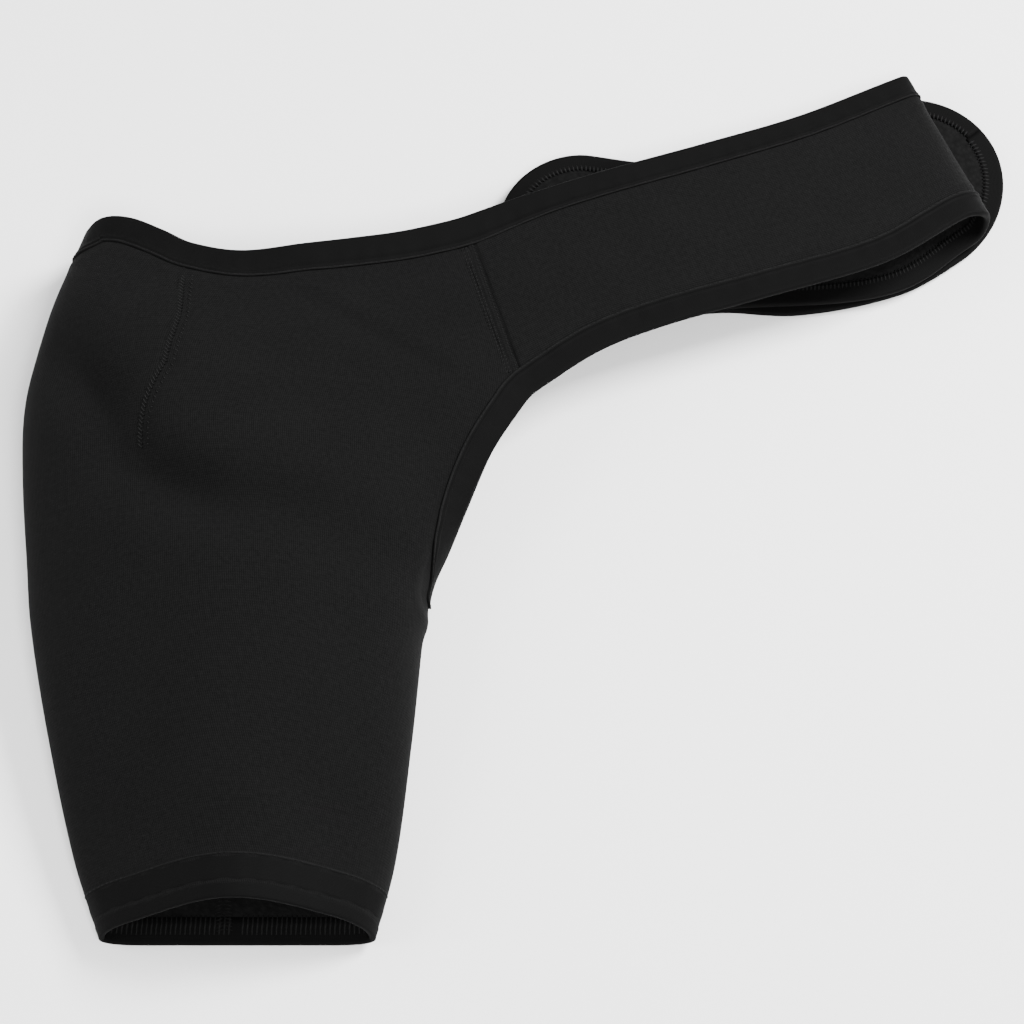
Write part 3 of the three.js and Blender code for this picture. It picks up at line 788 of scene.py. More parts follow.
@dataclass(frozen=True)
class ThreadFinish:
    """Sewing thread: a little lighter and glossier than the cloth, with a twist."""

    name: str
    level: float
    contrast: tuple[float, float] = (0.6, 1.4)
    ply: float = 0.0009
    depth: float = 0.00008

    def make(self) -> bpy.types.Material:
        """Build the material: slanting plies round the thread, with a painted highlight on their crests.

        Returns:
            The material.
        """
        g = Graph(self.name)
        _, u, v = g.cloth_uv()
        twist = (u * (2 * math.pi / self.ply) + v * (2 * math.pi)).sine() * 0.5 + 0.5
        fuzz = g.noise(g.object_place(), scale=900.0, detail=2.0)
        # Painted highlight: the colour is paler on the plies' crests and darker between them, following the
        # twist of the relief; the fuzz adds random tone.
        colour = g.shade((twist * 0.6 + fuzz * 0.5).least(1.0), self.level, self.contrast)
        return g.finish(colour, fuzz * 0.2 + 0.5, twist, self.depth, {"Specular IOR Level": 0.05})


@dataclass(frozen=True)
class HookFace:
    """Hook tape: close rows of small stiff hooks on a woven ground."""

    name: str = "hook_tape"
    level: float = 0.0022
    contrast: tuple[float, float] = (0.6, 1.8)
    row: float = 0.0016
    head: float = 0.0013
    depth: float = 0.0006

    def make(self) -> bpy.types.Material:
        """Build the material: a grid of raised round heads over a woven ground.

        Returns:
            The material.
        """
        g = Graph(self.name)
        uv, u, v = g.cloth_uv()
        rows = (u * (math.pi / self.row)).sine()
        heads = (v * (math.pi / self.head)).sine()
        grid = (rows * rows * heads * heads) ** 1.5
        weave = g.noise(uv, scale=1500.0, detail=2.0)
        # Painted highlight and shade: the heads are paler and the ground between them darker, following the
        # relief; the weave adds random tone.
        colour = g.shade((grid * 0.7 + weave * 0.3).least(1.0), self.level, self.contrast)
        sockets = {"Specular IOR Level": 0.06}
        return g.finish(colour, 0.62 - grid * 0.2, grid + weave * 0.2, self.depth, sockets)


@dataclass(frozen=True)
class TableTop:
    """A plain pale floor with the least unevenness of tone."""

    name: str = "pale_floor"
    level: float = 0.93
    contrast: tuple[float, float] = (0.985, 1.0)
    depth: float = 0.0001

    def make(self) -> bpy.types.Material:
        """Build the material.

        Returns:
            The material.
        """
        g = Graph(self.name)
        cloud = g.noise(g.object_place(), scale=3.0, detail=2.0)
        colour = g.shade(cloud, self.level, self.contrast)
        return g.finish(colour, cloud * 0.05 + 0.85, cloud, self.depth, {"Specular IOR Level": 0.1})


class Slot(Enum):
    """The pieces' material slots."""

    NEOPRENE = "neoprene"
    TAPE = "tape"
    HOOK = "hook"


class Rack:
    """The materials, each made once."""

    def __init__(self) -> None:
        """Make every finish."""
        self.jersey = KnitFace().make()
        self.lining = LiningFace().make()
        self.tape = TapeFace().make()
        self.thread = ThreadFinish("sewing_thread", 0.0080).make()
        # Painted shade: near-black beads at the needle holes stand for the shade inside them.
        self.painted_hole_shade = ThreadFinish("needle_hole_shade", 0.0004).make()
        self.edge_thread = ThreadFinish("edge_thread", 0.0052).make()
        self.hook = HookFace().make()


def grid_quads(ids: Array) -> Array:
    """The cells of a grid of vertex numbers, each as four numbers in turn."""
    return np.stack([ids[:-1, :-1], ids[:-1, 1:], ids[1:, 1:], ids[1:, :-1]], -1).reshape(-1, 4)


def grid_corners(values: Array) -> Array:
    """A grid's values at the four corners of each cell, in the order of grid_quads."""
    corners = [values[:-1, :-1], values[:-1, 1:], values[1:, 1:], values[1:, :-1]]
    return np.stack(corners, 2).reshape(-1, 4, values.shape[-1])


@dataclass
class Piece:
    """A mesh on its way into the scene: points, four-cornered faces, their UVs and finishes."""

    name: str
    slot: Slot
    points: Array
    quads: Array
    uvs: Array
    finish_of: Array
    smooth: Array

    def build(self, finishes: list[bpy.types.Material], stands_for: tuple[str, ...] = ()) -> bpy.types.Object:
        """Put the arrays into a mesh object that rides on the brace.

        Args:
            finishes: the mesh's materials.
            stands_for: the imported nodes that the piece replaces.

        Returns:
            The object.
        """
        whole = self.quads[:, 2] != self.quads[:, 3]
        counts = np.where(whole, 4, 3)
        keep = np.ones((len(self.quads), 4), bool)
        keep[:, 3] = whole
        loops = self.quads[keep].astype(np.int32)
        mesh = bpy.data.meshes.new(self.name)
        mesh.vertices.add(len(self.points))
        mesh.vertices.foreach_set("co", self.points.astype(np.float32).ravel())
        mesh.loops.add(len(loops))
        mesh.loops.foreach_set("vertex_index", loops)
        mesh.polygons.add(len(self.quads))
        starts = np.concatenate([[0], np.cumsum(counts)[:-1]])
        mesh.polygons.foreach_set("loop_start", starts.astype(np.int32))
        mesh.polygons.foreach_set("material_index", self.finish_of.astype(np.int32))
        mesh.polygons.foreach_set("use_smooth", self.smooth.astype(bool))
        mesh.update(calc_edges=True)
        layer = mesh.uv_layers.new(name="Cloth")
        layer.data.foreach_set("uv", self.uvs[keep].astype(np.float32).ravel())
        mesh.validate()
        for finish in finishes:
            mesh.materials.append(finish)
        made = bpy.data.objects.new(self.name, mesh)
        bpy.context.scene.collection.objects.link(made)
        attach(made, "root")
        if stands_for:
            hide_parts(*stands_for)
        LOG.info("%s: %d points, %d faces", self.name, len(self.points), len(self.quads))
        return made


def shell(name: str, slot: Slot, outer: Array, inner: Array, uv: Array, weld: Array | None = None) -> Piece:
    """A closed sheet between two grids of points, with a rim along every open edge.

    A cell of the outer grid is a face, the same cell of the inner grid is a face turned over, and an
    edge that only one cell has gets a face between the two grids.

    Args:
        name: the piece's name.
        slot: the piece's material slot.
        outer: the outer grid's points.
        inner: the inner grid's points.
        uv: the grid's places on the cloth, in metres.
        weld: a number for each grid place, equal where two places are one vertex.

    Returns:
        The piece, with the outer face's finish first, then the inner one's.
    """
    rows, columns = outer.shape[:2]
    count = rows * columns
    ids = np.arange(count).reshape(rows, columns) if weld is None else weld
    front = grid_quads(ids)
    corner_uv = grid_corners(uv)
    a, b = outer[:-1, :-1], outer[:-1, 1:]
    centre = ((outer + inner) / 2)[:-1, :-1]
    turned = np.cross(b - a, outer[1:, :-1] - a)
    if (turned * (a - centre)).sum() < 0:
        front, corner_uv = front[:, ::-1], corner_uv[:, ::-1]
    edge_from, edge_to = front, np.roll(front, -1, axis=1)
    forward, backward = edge_from * count + edge_to, edge_to * count + edge_from
    bare = ~np.isin(forward, backward) & (edge_from != edge_to)
    start, end = edge_from[bare], edge_to[bare]
    rim = np.stack([end, start, start + count, end + count], -1)
    start_uv, end_uv = corner_uv[bare], np.roll(corner_uv, -1, axis=1)[bare]
    rim_uv = np.stack([end_uv, start_uv, start_uv + RIM_UV, end_uv + RIM_UV], 1)
    back = front[:, ::-1] + count
    quads = np.concatenate([front, back, rim])
    finish_of = np.concatenate([np.zeros(len(front)), np.ones(len(back)), np.zeros(len(rim))])
    smooth = np.concatenate([np.ones(len(front) + len(back)), np.zeros(len(rim))])
    uvs = np.concatenate([corner_uv, corner_uv[:, ::-1], rim_uv])
    points = np.concatenate([outer.reshape(-1, 3), inner.reshape(-1, 3)])
    return tidy_piece(Piece(name, slot, points, quads, uvs, finish_of, smooth))


def tidy_piece(piece: Piece) -> Piece:
    """Leave out faces that have shrunk to a line, and points that no face uses.

    Args:
        piece: the piece as its grids gave it.

    Returns:
        The piece with three-cornered faces written as their three corners and the last again.
    """
    quads, uvs = piece.quads, piece.uvs
    same = quads == np.roll(quads, -1, axis=1)
    shift = np.where(same.any(1), (same.argmax(1) + 2) % 4, 0)
    order = (np.arange(4)[None, :] + shift[:, None]) % 4
    quads = np.take_along_axis(quads, order, 1)
    uvs = np.take_along_axis(uvs, order[:, :, None], 1)
    sides = same.sum(1)
    quads[sides == 1, 3] = quads[sides == 1, 2]
    kept = sides < 2
    quads, uvs = quads[kept], uvs[kept]
    used, numbers = np.unique(quads, return_inverse=True)
    return Piece(
        piece.name, piece.slot, piece.points[used], numbers.reshape(quads.shape), uvs,
        piece.finish_of[kept], piece.smooth[kept],
    )


@dataclass(frozen=True)
class Thread:
    """Short lengths of thread, each an arch of a tube between two points of cloth."""

    radius: float
    lift: float
    rings: int = 5
    sides: int = 6
    arch: float = 1.25
    sunk: float = 0.5
    ends: tuple[float, float] = (0.55, 0.45)

    def tubes(self, start: Array, end: Array, normal: Array) -> tuple[Array, Array, Array]:
        """Arch a tube from each start to each end.

        The middle line is straight, raised along the normal by the sine of its share of half a turn.
        Each ring is a circle across it, smaller at the two ends.

        Args:
            start: where each length comes out of the cloth.
            end: where it goes back in.
            normal: the cloth's outward direction there.

        Returns:
            Points of shape (lengths, rings, sides, 3), quads and corner UVs.
        """
        t = np.linspace(0, 1, self.rings)[None, :, None]
        way = unit(end - start)
        aside = unit(np.cross(way, normal))
        up = np.cross(aside, way)
        arch = np.sin(math.pi * t) * self.lift * self.arch - self.radius * self.sunk
        middle = start[:, None] + (end - start)[:, None] * t + up[:, None] * arch
        turn = np.arange(self.sides) * 2 * math.pi / self.sides
        radius = self.radius * (self.ends[0] + self.ends[1] * np.sin(math.pi * t))[..., None]
        cosine, sine = np.cos(turn)[None, None, :, None], np.sin(turn)[None, None, :, None]
        ring = aside[:, None, None] * cosine + up[:, None, None] * sine
        points = middle[:, :, None] + ring * radius
        ids = np.arange(self.rings * self.sides).reshape(self.rings, self.sides)
        ids = np.concatenate([ids, ids[:, :1]], 1)
        cells = grid_quads(ids)[:, ::-1]
        about = np.arange(self.sides + 1) / self.sides
        run, round_ = np.meshgrid(np.linspace(0, 1, self.rings), about, indexing="ij")
        uv = grid_corners(np.stack([run * 0.002, round_], -1))[:, ::-1]
        ends = [ids[0, [0, 1, 2, 3]], ids[0, [0, 3, 4, 5]], ids[-1, [3, 2, 1, 0]], ids[-1, [5, 4, 3, 0]]]
        cells = np.concatenate([cells, np.array(ends)])
        uv = np.concatenate([uv, np.zeros((4, 4, 2))])
        count = len(start)
        quads = (cells[None] + (np.arange(count) * self.rings * self.sides)[:, None, None]).reshape(-1, 4)
        return points.reshape(-1, 3), quads, np.tile(uv, (count, 1, 1))

    def piece(self, name: str, slot: Slot, runs: Rows) -> Piece:
        """Join several rows of thread into one piece.

        Args:
            name: the piece's name.
            slot: the piece's material slot.
            runs: the starts, ends and normals of each row.

        Returns:
            The piece.
        """
        start, end, normal = (np.concatenate([run[i] for run in runs]) for i in range(3))
        points, quads, uvs = self.tubes(start, end, normal)
        return Piece(name, slot, points, quads, uvs, np.zeros(len(quads)), np.ones(len(quads)))


DART_THREAD = Thread(0.00027, 0.0003)
SEAM_THREAD = Thread(0.00024, 0.0003)
EDGE_THREAD = Thread(0.00024, 0.0001, rings=4)
LOOPER_THREAD = Thread(0.00065, 0.0002)
PATCH_THREAD = Thread(0.0002, 0.0001, rings=4)
# A short sunk bead that carries the painted shade of a needle hole.
HOLE_SHADE_BEAD = Thread(0.0004, 0.0, rings=3)


def hole_shade_beads(name: str, runs: Rows) -> Piece:
    """Painted shade at the needle holes: a short dark bead, sunk at both ends of each length of thread.

    Args:
        name: the piece's name.
        runs: the starts, ends and normals of each row.

    Returns:
        The piece.
    """
    spots = []
    for start, end, normal in runs:
        way = unit(end - start) * HOLE_SHADE_BEAD.radius
        spots += [(start - way, start + way, normal), (end - way, end + way, normal)]
    return HOLE_SHADE_BEAD.piece(name, Slot.TAPE, spots)


def pick(line: Array, run: Array, at: Array) -> Array:
    """Values of a line at lengths along it, straight between its points.

    Args:
        line: one row of values a point.
        run: the length run at each point.
        at: lengths.

    Returns:
        One row of values a length.
    """
    flat = line.reshape(len(line), -1)
    found = np.stack([np.interp(at, run, flat[:, i]) for i in range(flat.shape[1])], -1)
    return found.reshape(len(at), *line.shape[1:])


# How the turn between two hems is eased, in metres and in stations: at a strap's end and at the armpit.
STRAP_EASE = (0.013, 7)
ARMPIT_EASE = (0.006, 3)


@dataclass
class Hem:
    """A raw edge with the cloth beside it: points and normals at set distances in from the edge."""

    points: Array
    normals: Array
    stops: Array

    @classmethod
    def along(cls, form: Form, a: Array, b: Array, inward: tuple[Array, Array], stops: Array) -> "Hem":
        """Follow an edge of a form.

        The way in is square to the edge on the surface, on the side of the inward places.

        Args:
            form: the surface.
            a: first parameters of the edge.
            b: second parameters of the edge.
            inward: parameters of places inside the edge.
            stops: distances in from it.

        Returns:
            The hem.
        """
        point, _, _, normal = form.frame(a, b)
        way = unit(np.gradient(point, axis=0))
        into = np.cross(normal, way)
        into *= np.sign((into * (form.point(*inward) - point)).sum(-1, keepdims=True))
        points, normals = form.walk(a, b, into, stops)
        return cls(points, normals, stops)

    @classmethod
    def joined(cls, parts: list["Hem"], spacing: float, closed: bool = False) -> "Hem":
        """Run several hems into one with even spacing, eased where two of them meet.

        The length run is the mean over the distances, so that a turn about one point has a length too.

        Args:
            parts: the hems in order.
            spacing: metres between stations.
            closed: whether the last station meets the first.

        Returns:
            The joined hem.
        """
        points = np.concatenate([part.points for part in parts])
        normals = np.concatenate([part.normals for part in parts])
        run = mean_run(points)
        ends = np.cumsum([len(part.points) for part in parts])[:-1]
        at = np.linspace(0, run[-1], max(8, round(run[-1] / spacing)) + 1)
        points, normals = pick(points, run, at), pick(normals, run, at)
        for i, end in enumerate([] if closed else ends):
            width, reach = STRAP_EASE if i in (0, len(ends) - 1) else ARMPIT_EASE
            near = bell(at - run[end], width)[:, None, None]
            points = points + near * (cls.eased(points, reach) - points)
            normals = normals + near * (cls.eased(normals, reach) - normals)
        return cls(points, unit(normals), parts[0].stops)

    def turned_back(self) -> "Hem":
        """The same hem from its other end."""
        return Hem(self.points[::-1], self.normals[::-1], self.stops)

    def drawn_in(self, share: Array) -> "Hem":
        """The same hem with its distances from the edge cut down to a share of themselves.

        Args:
            share: one share a station.

        Returns:
            The narrower hem.
        """
        place = self.stops[None, :] * share[:, None]
        points, normals = (between(grid, self.stops, place) for grid in (self.points, self.normals))
        return Hem(points, unit(normals), self.stops)

    @staticmethod
    def eased(values: Array, reach: int) -> Array:
        """Average each row with its neighbours, weighted by a bell, the ends held."""
        weights = bell(np.arange(-reach, reach + 1), reach / 1.6)
        padded = np.concatenate([values[:1].repeat(reach, 0), values, values[-1:].repeat(reach, 0)])
        total = sum(w * padded[i : i + len(values)] for i, w in enumerate(weights))
        return total / weights.sum()

    @property
    def run(self) -> Array:
        """The length run along the hem at each station."""
        return mean_run(self.points)

    def at(self, distance: float, height: float, face: float) -> tuple[Array, Array]:
        """A line on one face of the cloth, a set distance in from the edge.

        Args:
            distance: in from the edge.
            height: above the sheet's middle.
            face: 1 for the outer face, -1 for the inner one.

        Returns:
            Points and outward directions, one a station.
        """
        place = np.full(len(self.points), distance)
        normal = unit(between(self.normals, self.stops, place)) * face
        return between(self.points, self.stops, place) + normal * height, normal


THREAD_START = 0.002  # where along a tape its first thread lies


@dataclass(frozen=True)
class Binding:
    """Tape folded over an edge, with its rows of stitches."""

    width: float
    inner_width: float
    pressed: float = 0.0012
    tape: float = 0.0007
    doubled: float = 0.0004
    hem_turn: float = 0.0032
    nose: float = 0.0013
    stitch: float = 0.0027
    stitch_share: float = 0.78
    stitch_in: float = 0.0007
    rib_pitch: float = 0.0021
    rib_reach: tuple[float, float] = (-0.0030, 0.0010)
    lip_at: float = 0.0
    lip_deep: float = 0.0006
    lip_wide: float = 0.0009
    ridge: float = 0.0002
    ridge_in: float = 0.0006
    needle_deep: float = 0.00036
    needle_in: float = 0.0018
    needle_wide: float = 0.0005
    wave: float = 0.00012
    wave_long: float = 0.013
    wave_sway: float = 0.071
    fade: float = 0.02

    def height(self, distance: Array, run: Array) -> Array:
        """How far the tape's outer face stands above the sheet's middle.

        The cloth is pressed thinner, the tape lies doubled over its last few millimetres, and the
        needle line sinks in beside the ridge of its edge. Long shallow waves run along it, and die
        out at its ends.

        Args:
            distance: in from the edge.
            run: along the tape.

        Returns:
            Heights for each station and distance.
        """
        turn = self.width - self.hem_turn
        raised = self.doubled * smoothstep(distance, turn - 0.0008, turn)
        raised = raised + self.ridge * bell(distance - (self.width - self.ridge_in), self.needle_wide)
        sunk = self.needle_deep * bell(distance - (self.width - self.needle_in), self.needle_wide)
        lip = self.lip_deep * bell(distance - self.lip_at, self.lip_wide) if self.lip_at else 0.0
        sway = 1.3 * np.sin(run * 2 * math.pi / self.wave_sway)
        wave = self.wave * np.sin(run * 2 * math.pi / self.wave_long + sway)
        total = np.max(run) if np.size(run) > 1 else 1.0
        ends = smoothstep(run, 0, self.fade) * (1 - smoothstep(run, total - self.fade, total))
        share = smoothstep(distance, 0.002, self.width * 0.6) * ends
        return self.pressed + self.tape + raised - sunk - lip + wave * share

    def sheet(self, name: str, hem: Hem, closed: bool = False) -> Piece:
        """The tape's own shell.

        Its section goes in along the outer face, round the edge on half an ellipse, and in along the
        inner face. Its under side is the same path nearer the cloth.

        Args:
            name: the piece's name.
            hem: the edge it is folded over.
            closed: whether the last station meets the first.

        Returns:
            The piece.
        """
        run = hem.run
        outer_stops = np.flatnonzero(hem.stops <= self.width + 1e-9)
        inner_stops = np.flatnonzero(hem.stops <= self.inner_width + 1e-9)
        here, normal = hem.points[:, 0], hem.normals[:, 0]
        away = here - hem.points[:, 1]
        away = unit(away - (away * normal).sum(-1, keepdims=True) * normal)
        turn = np.radians(np.linspace(0, 180, 9)[1:-1])
        faces = []
        for under in (False, True):
            far, high = self.nose, self.pressed + self.tape
            if under:
                far, high = self.nose - self.tape, self.pressed
            top = []
            for i in outer_stops[::-1]:
                rise = high if under else self.height(np.full(len(run), hem.stops[i]), run)[:, None]
                top.append(hem.points[:, i] + hem.normals[:, i] * rise)
            low = [hem.points[:, i] - hem.normals[:, i] * high for i in inner_stops]
            bend = [here + away * far * math.sin(t) + normal * high * math.cos(t) for t in turn]
            faces.append(np.stack([*top, *bend, *low], 1))
        outer, inner = faces
        across = np.concatenate([[0], np.cumsum(np.linalg.norm(np.diff(outer, axis=1), axis=-1).mean(0))])
        uv = np.stack(np.broadcast_arrays(run[:, None], across[None, :]), -1)
        weld = np.arange(outer.shape[0] * outer.shape[1]).reshape(outer.shape[:2])
        if closed:
            weld[-1] = weld[0]
        return shell(name, Slot.TAPE, outer, inner, uv, weld)

    def lockstitch(self, hem: Hem) -> Rows:
        """The straight row of stitches by the tape's edge on the outer face.

        Args:
            hem: the edge that it follows.

        Returns:
            Starts, ends and normals of the one row.
        """
        run, distance = hem.run, self.width - self.stitch_in
        first = np.arange(THREAD_START, run[-1] - self.stitch, self.stitch)
        high = float(self.height(np.array(distance), np.array(0.0)))
        line, normal = hem.at(distance, high, 1)
        end = pick(line, run, first + self.stitch * self.stitch_share)
        return [(pick(line, run, first), end, pick(normal, run, first))]

    def ribs(self, hem: Hem) -> Rows:
        """The looper threads that cover the tape's edge on the inner face: close cross threads.

        Args:
            hem: the edge that they follow.

        Returns:
            Starts, ends and normals of the one row.
        """
        run = hem.run
        first = np.arange(THREAD_START, run[-1] - self.rib_pitch, self.rib_pitch)
        near, normal = hem.at(self.inner_width + self.rib_reach[0], self.pressed + self.tape, -1)
        far, _ = hem.at(self.inner_width + self.rib_reach[1], self.pressed + 0.0005, -1)
        start, end = pick(near, run, first), pick(far, run, first + self.rib_pitch * 0.2)
        return [(start, end, pick(normal, run, first))]


def hem_stops(binding: Binding) -> Array:
    """Distances in from an edge at which a tape's section has its points.

    Args:
        binding: the tape.

    Returns:
        The distances, rising, closest together by the tape's edge.
    """
    width, turn = binding.width, binding.width - binding.hem_turn
    even = [0.0, 0.0012, width * 0.22, width * 0.42, width * 0.6]
    edge = [width - x for x in (0.0027, 0.0022, 0.0018, 0.0014, 0.001, 0.0006, 0.0002, 0.0)]
    lip = [binding.lip_at + x for x in (-0.0018, -0.0009, 0.0, 0.0009, 0.0018)] if binding.lip_at else []
    inner = [binding.inner_width + x for x in (*binding.rib_reach, 0.0)]
    every = [*even, turn - 0.0008, turn, *edge, *lip, *inner, width + 0.0025]
    return np.array(sorted({round(x, 6) for x in every}))


@dataclass
class Ribbon:
    """The surface either side of a line: points and normals at set places across it."""

    points: Array
    normals: Array
    stops: Array

    @classmethod
    def joined(cls, before: tuple[Array, Array], after: tuple[Array, Array], stops: Array) -> "Ribbon":
        """Put together what was walked on the two sides of the line.

        Args:
            before: points and normals on the negative side, from the line outwards.
            after: the same on the positive side.
            stops: distances from the line on either side, from 0.

        Returns:
            The ribbon.
        """
        points, normals = (np.concatenate([b[:, :0:-1], a], 1) for b, a in zip(before, after))
        return cls(points, unit(normals), np.concatenate([-stops[:0:-1], stops]))

    @classmethod
    def beside(cls, form: Form, a: Array, b: Array, reach: int, face: float) -> "Ribbon":
        """Walk away from a line on a form, square to it, to both sides.

        Args:
            form: the surface.
            a: first parameters of the line.
            b: second parameters of the line.
            reach: how far to walk, in millimetres.
            face: 1 for the outer face, -1 for the inner one.

        Returns:
            The ribbon, its positive side towards the straps.
        """
        point, _, _, normal = form.frame(a, b)
        across = unit(np.cross(normal, unit(np.gradient(point, axis=0))))
        across = across * np.sign(across[:, :1].mean())
        stops = np.arange(reach + 1) * MM
        before, after = (form.walk(a, b, across * side, stops) for side in (-1, 1))
        return cls.joined((before[0], before[1] * face), (after[0], after[1] * face), stops)

    def line(self, place: Array, height: float) -> tuple[Array, Array]:
        """A line along the ribbon.

        Args:
            place: where it lies across, one value a station.
            height: above the sheet's middle.

        Returns:
            Points and normals, one a station.
        """
        normal = unit(between(self.normals, self.stops, place))
        return between(self.points, self.stops, place) + normal * height, normal


@dataclass(frozen=True)
class Flatlock:
    """A flat seam's stitching: columns of short threads across the seam."""

    pitch: float

    def columns(
        self, ribbon: Ribbon, middle: Array, places: list[tuple[float, float, float]], height: float
    ) -> Rows:
        """Columns of short slanting threads beside a line.

        Args:
            ribbon: the surface that they lie on.
            middle: the line's place across the ribbon, one value a station.
            places: start and end of each column's threads from the line, and their slant along it.
            height: above the sheet's middle.

        Returns:
            Starts, ends and normals of each column.
        """
        run = arc_length(ribbon.line(middle, 0.0)[0])
        first = np.arange(MM, run[-1] - self.pitch, self.pitch)
        rows = []
        for near, far, slant in places:
            start, normal = ribbon.line(middle + near, height)
            end, _ = ribbon.line(middle + far, height)
            later = np.clip(first + slant, 0, run[-1])
            rows.append((pick(start, run, first), pick(end, run, later), unit(pick(normal, run, first))))
        return rows


@dataclass
class StrapSeam:
    """Where a strap is sewn to the sleeve: the surface on both sides, and the line of its ditch.

    The ditch runs a little way onto the sleeve at its foot and onto the strap at its top.
    """

    cut: Cut
    sleeve: SleeveForm
    strap: StrapForm
    across: float
    foot: float = -0.001
    top: float = 0.0045
    ease: float = 0.012
    count: int = 110
    ditch_deep: float = 0.0009
    ditch_wide: float = 0.0011
    hole_lines: tuple[float, float] = (-0.0059, -0.0083)
    hole_deep: float = 0.00035
    hole_wide: float = 0.0007
    lap_from: float = 0.0042
    lap_wide: float = 0.0037
    lap_high: float = 0.0007

    def __post_init__(self) -> None:
        """Walk away from the seam on both sheets, and even out the two normals where they meet."""
        c = self.cut
        self.share = np.linspace(0, 1, self.count)
        stops = np.arange(14) * MM
        at = c.seam + (1 - c.seam) * self.share
        a = np.full(self.count, self.across)
        hem = Hem.along(self.sleeve, a, at, (a + 0.02 * (1 - 2 * self.across), at), stops)
        start, aside = np.zeros(self.count), (2 * self.share - 1) * c.seam_half
        _, along, _, _ = self.strap.frame(start, aside)
        points, normals = self.strap.walk(start, aside, unit(along), stops)
        mean = unit(hem.normals[:, 0] + normals[:, 0])
        self.sleeve_lean, self.strap_lean = mean - hem.normals[:, 0], mean - normals[:, 0]
        fade = (1 - smoothstep(stops, 0, self.ease))[None, :, None]
        before = hem.points, unit(hem.normals + fade * self.sleeve_lean[:, None])
        after = points, unit(normals + fade * self.strap_lean[:, None])
        self.ribbon = Ribbon.joined(before, after, stops)
        self.ditch = self.foot + (self.top - self.foot) * self.share
        self.ditch_line, _ = self.ribbon.line(self.ditch, 0.0)
        self.join_line = hem.points[:, 0]

    def leant(self, normal: Array, share: Array, near: Array, lean: Array) -> Array:
        """A sheet's normals, turned near the seam towards the other sheet's.

        Args:
            normal: the sheet's own normals.
            share: places along the seam, from its foot.
            near: how strongly to turn, from 0 to 1.
            lean: the full turn at each of the seam's stations.

        Returns:
            The turned normals.
        """
        turn = pick(lean, self.share, np.clip(share, 0, 1).ravel()).reshape(normal.shape)
        return unit(normal + turn * near[..., None])

    def part(self, margin: float) -> tuple[Ribbon, Array]:
        """The ribbon and the ditch's places, where they lie clear of the tape at both ends."""
        run = arc_length(self.ditch_line)
        kept = (run > margin) & (run < run[-1] - margin)
        ribbon = self.ribbon
        return Ribbon(ribbon.points[kept], ribbon.normals[kept], ribbon.stops), self.ditch[kept]

    def threads(self) -> Rows:
        """Two columns over the needle holes, and the dots on the lap by the ditch."""
        ribbon, ditch = self.part(self.cut.tape_width * 0.85)
        low, high = self.cut.wall / 2 - 0.0001, self.cut.wall / 2 + 0.0003
        seam = Flatlock(pitch=0.0022)
        needles = [(-0.0076, -0.0061, 0.0012), (-0.0057, -0.0044, 0.0012)]
        dots = [(-0.0017, -0.0009, 0.001)]
        return seam.columns(ribbon, ditch, needles, low) + seam.columns(ribbon, ditch, dots, high)

    def ditch_depth(self, point: Array) -> Array:
        """How far the ditch presses the outer face in at each point."""
        return self.ditch_deep * bell(distance_to_line(point, self.ditch_line), self.ditch_wide)

    def holes(self, point: Array) -> Array:
        """How far the needle holes press the outer face in: two lines of small dips beside the lap."""
        ribbon, ditch = self.part(self.cut.tape_width * 0.85)
        deep = np.zeros(point.shape[:-1])
        for place in self.hole_lines:
            line, _ = ribbon.line(ditch + place, 0.0)
            deep = deep + self.hole_deep * bell(distance_to_line(point, line), self.hole_wide)
        return deep

    def lap(self, name: str) -> Piece:
        """The lap of the seam: a low rounded strip between the needle rows and the ditch.

        Its section is a flat arch, a sine to a low power.

        Args:
            name: the piece's name.

        Returns:
            The piece.
        """
        ribbon, ditch = self.part(self.cut.tape_width * 0.8)
        share = np.linspace(0, 1, 9)
        base = self.cut.wall / 2
        lines = [ribbon.line(ditch - self.lap_from + self.lap_wide * x, 0.0) for x in share]
        point, normal = (np.stack([line[i] for line in lines], 1) for i in (0, 1))
        high = self.lap_high * np.sin(math.pi * share) ** 0.45 + base - 0.0003
        run = arc_length(point[:, 0])
        uv = np.stack(np.broadcast_arrays(run[:, None], share[None, :] * self.lap_wide), -1)
        top, bottom = point + normal * high[None, :, None], point + normal * (base - 0.0007)
        return shell(name, Slot.NEOPRENE, top, bottom, uv)


@dataclass(frozen=True)
class Press:
    """How tape presses the sheet that it binds: thinner under it, and swollen beside it."""

    deep: float = 0.0004
    outer_from: float = -0.0012
    outer_to: float = 0.0016
    inner_from: float = -0.002
    inner_to: float = 0.001
    swell: float = 0.00035
    swell_at: float = 0.0045
    swell_wide: float = 0.003

    def faces(self, cut: Cut, edge_distance: Array) -> tuple[Array, Array]:
        """How far a sheet's two faces stand from its middle.

        Args:
            cut: the sizes.
            edge_distance: how far each place lies from the taped edge.

        Returns:
            The outer face's heights and the inner one's.
        """
        level, wide, inner_wide = cut.wall / 2, cut.tape_width, cut.inner_width
        clear = smoothstep(edge_distance, wide + self.outer_from, wide + self.outer_to)
        outer = level - self.deep * (1 - clear)
        outer += self.swell * bell(edge_distance - wide - self.swell_at, self.swell_wide)
        clear = smoothstep(edge_distance, inner_wide + self.inner_from, inner_wide + self.inner_to)
        return outer, level - self.deep * (1 - clear)


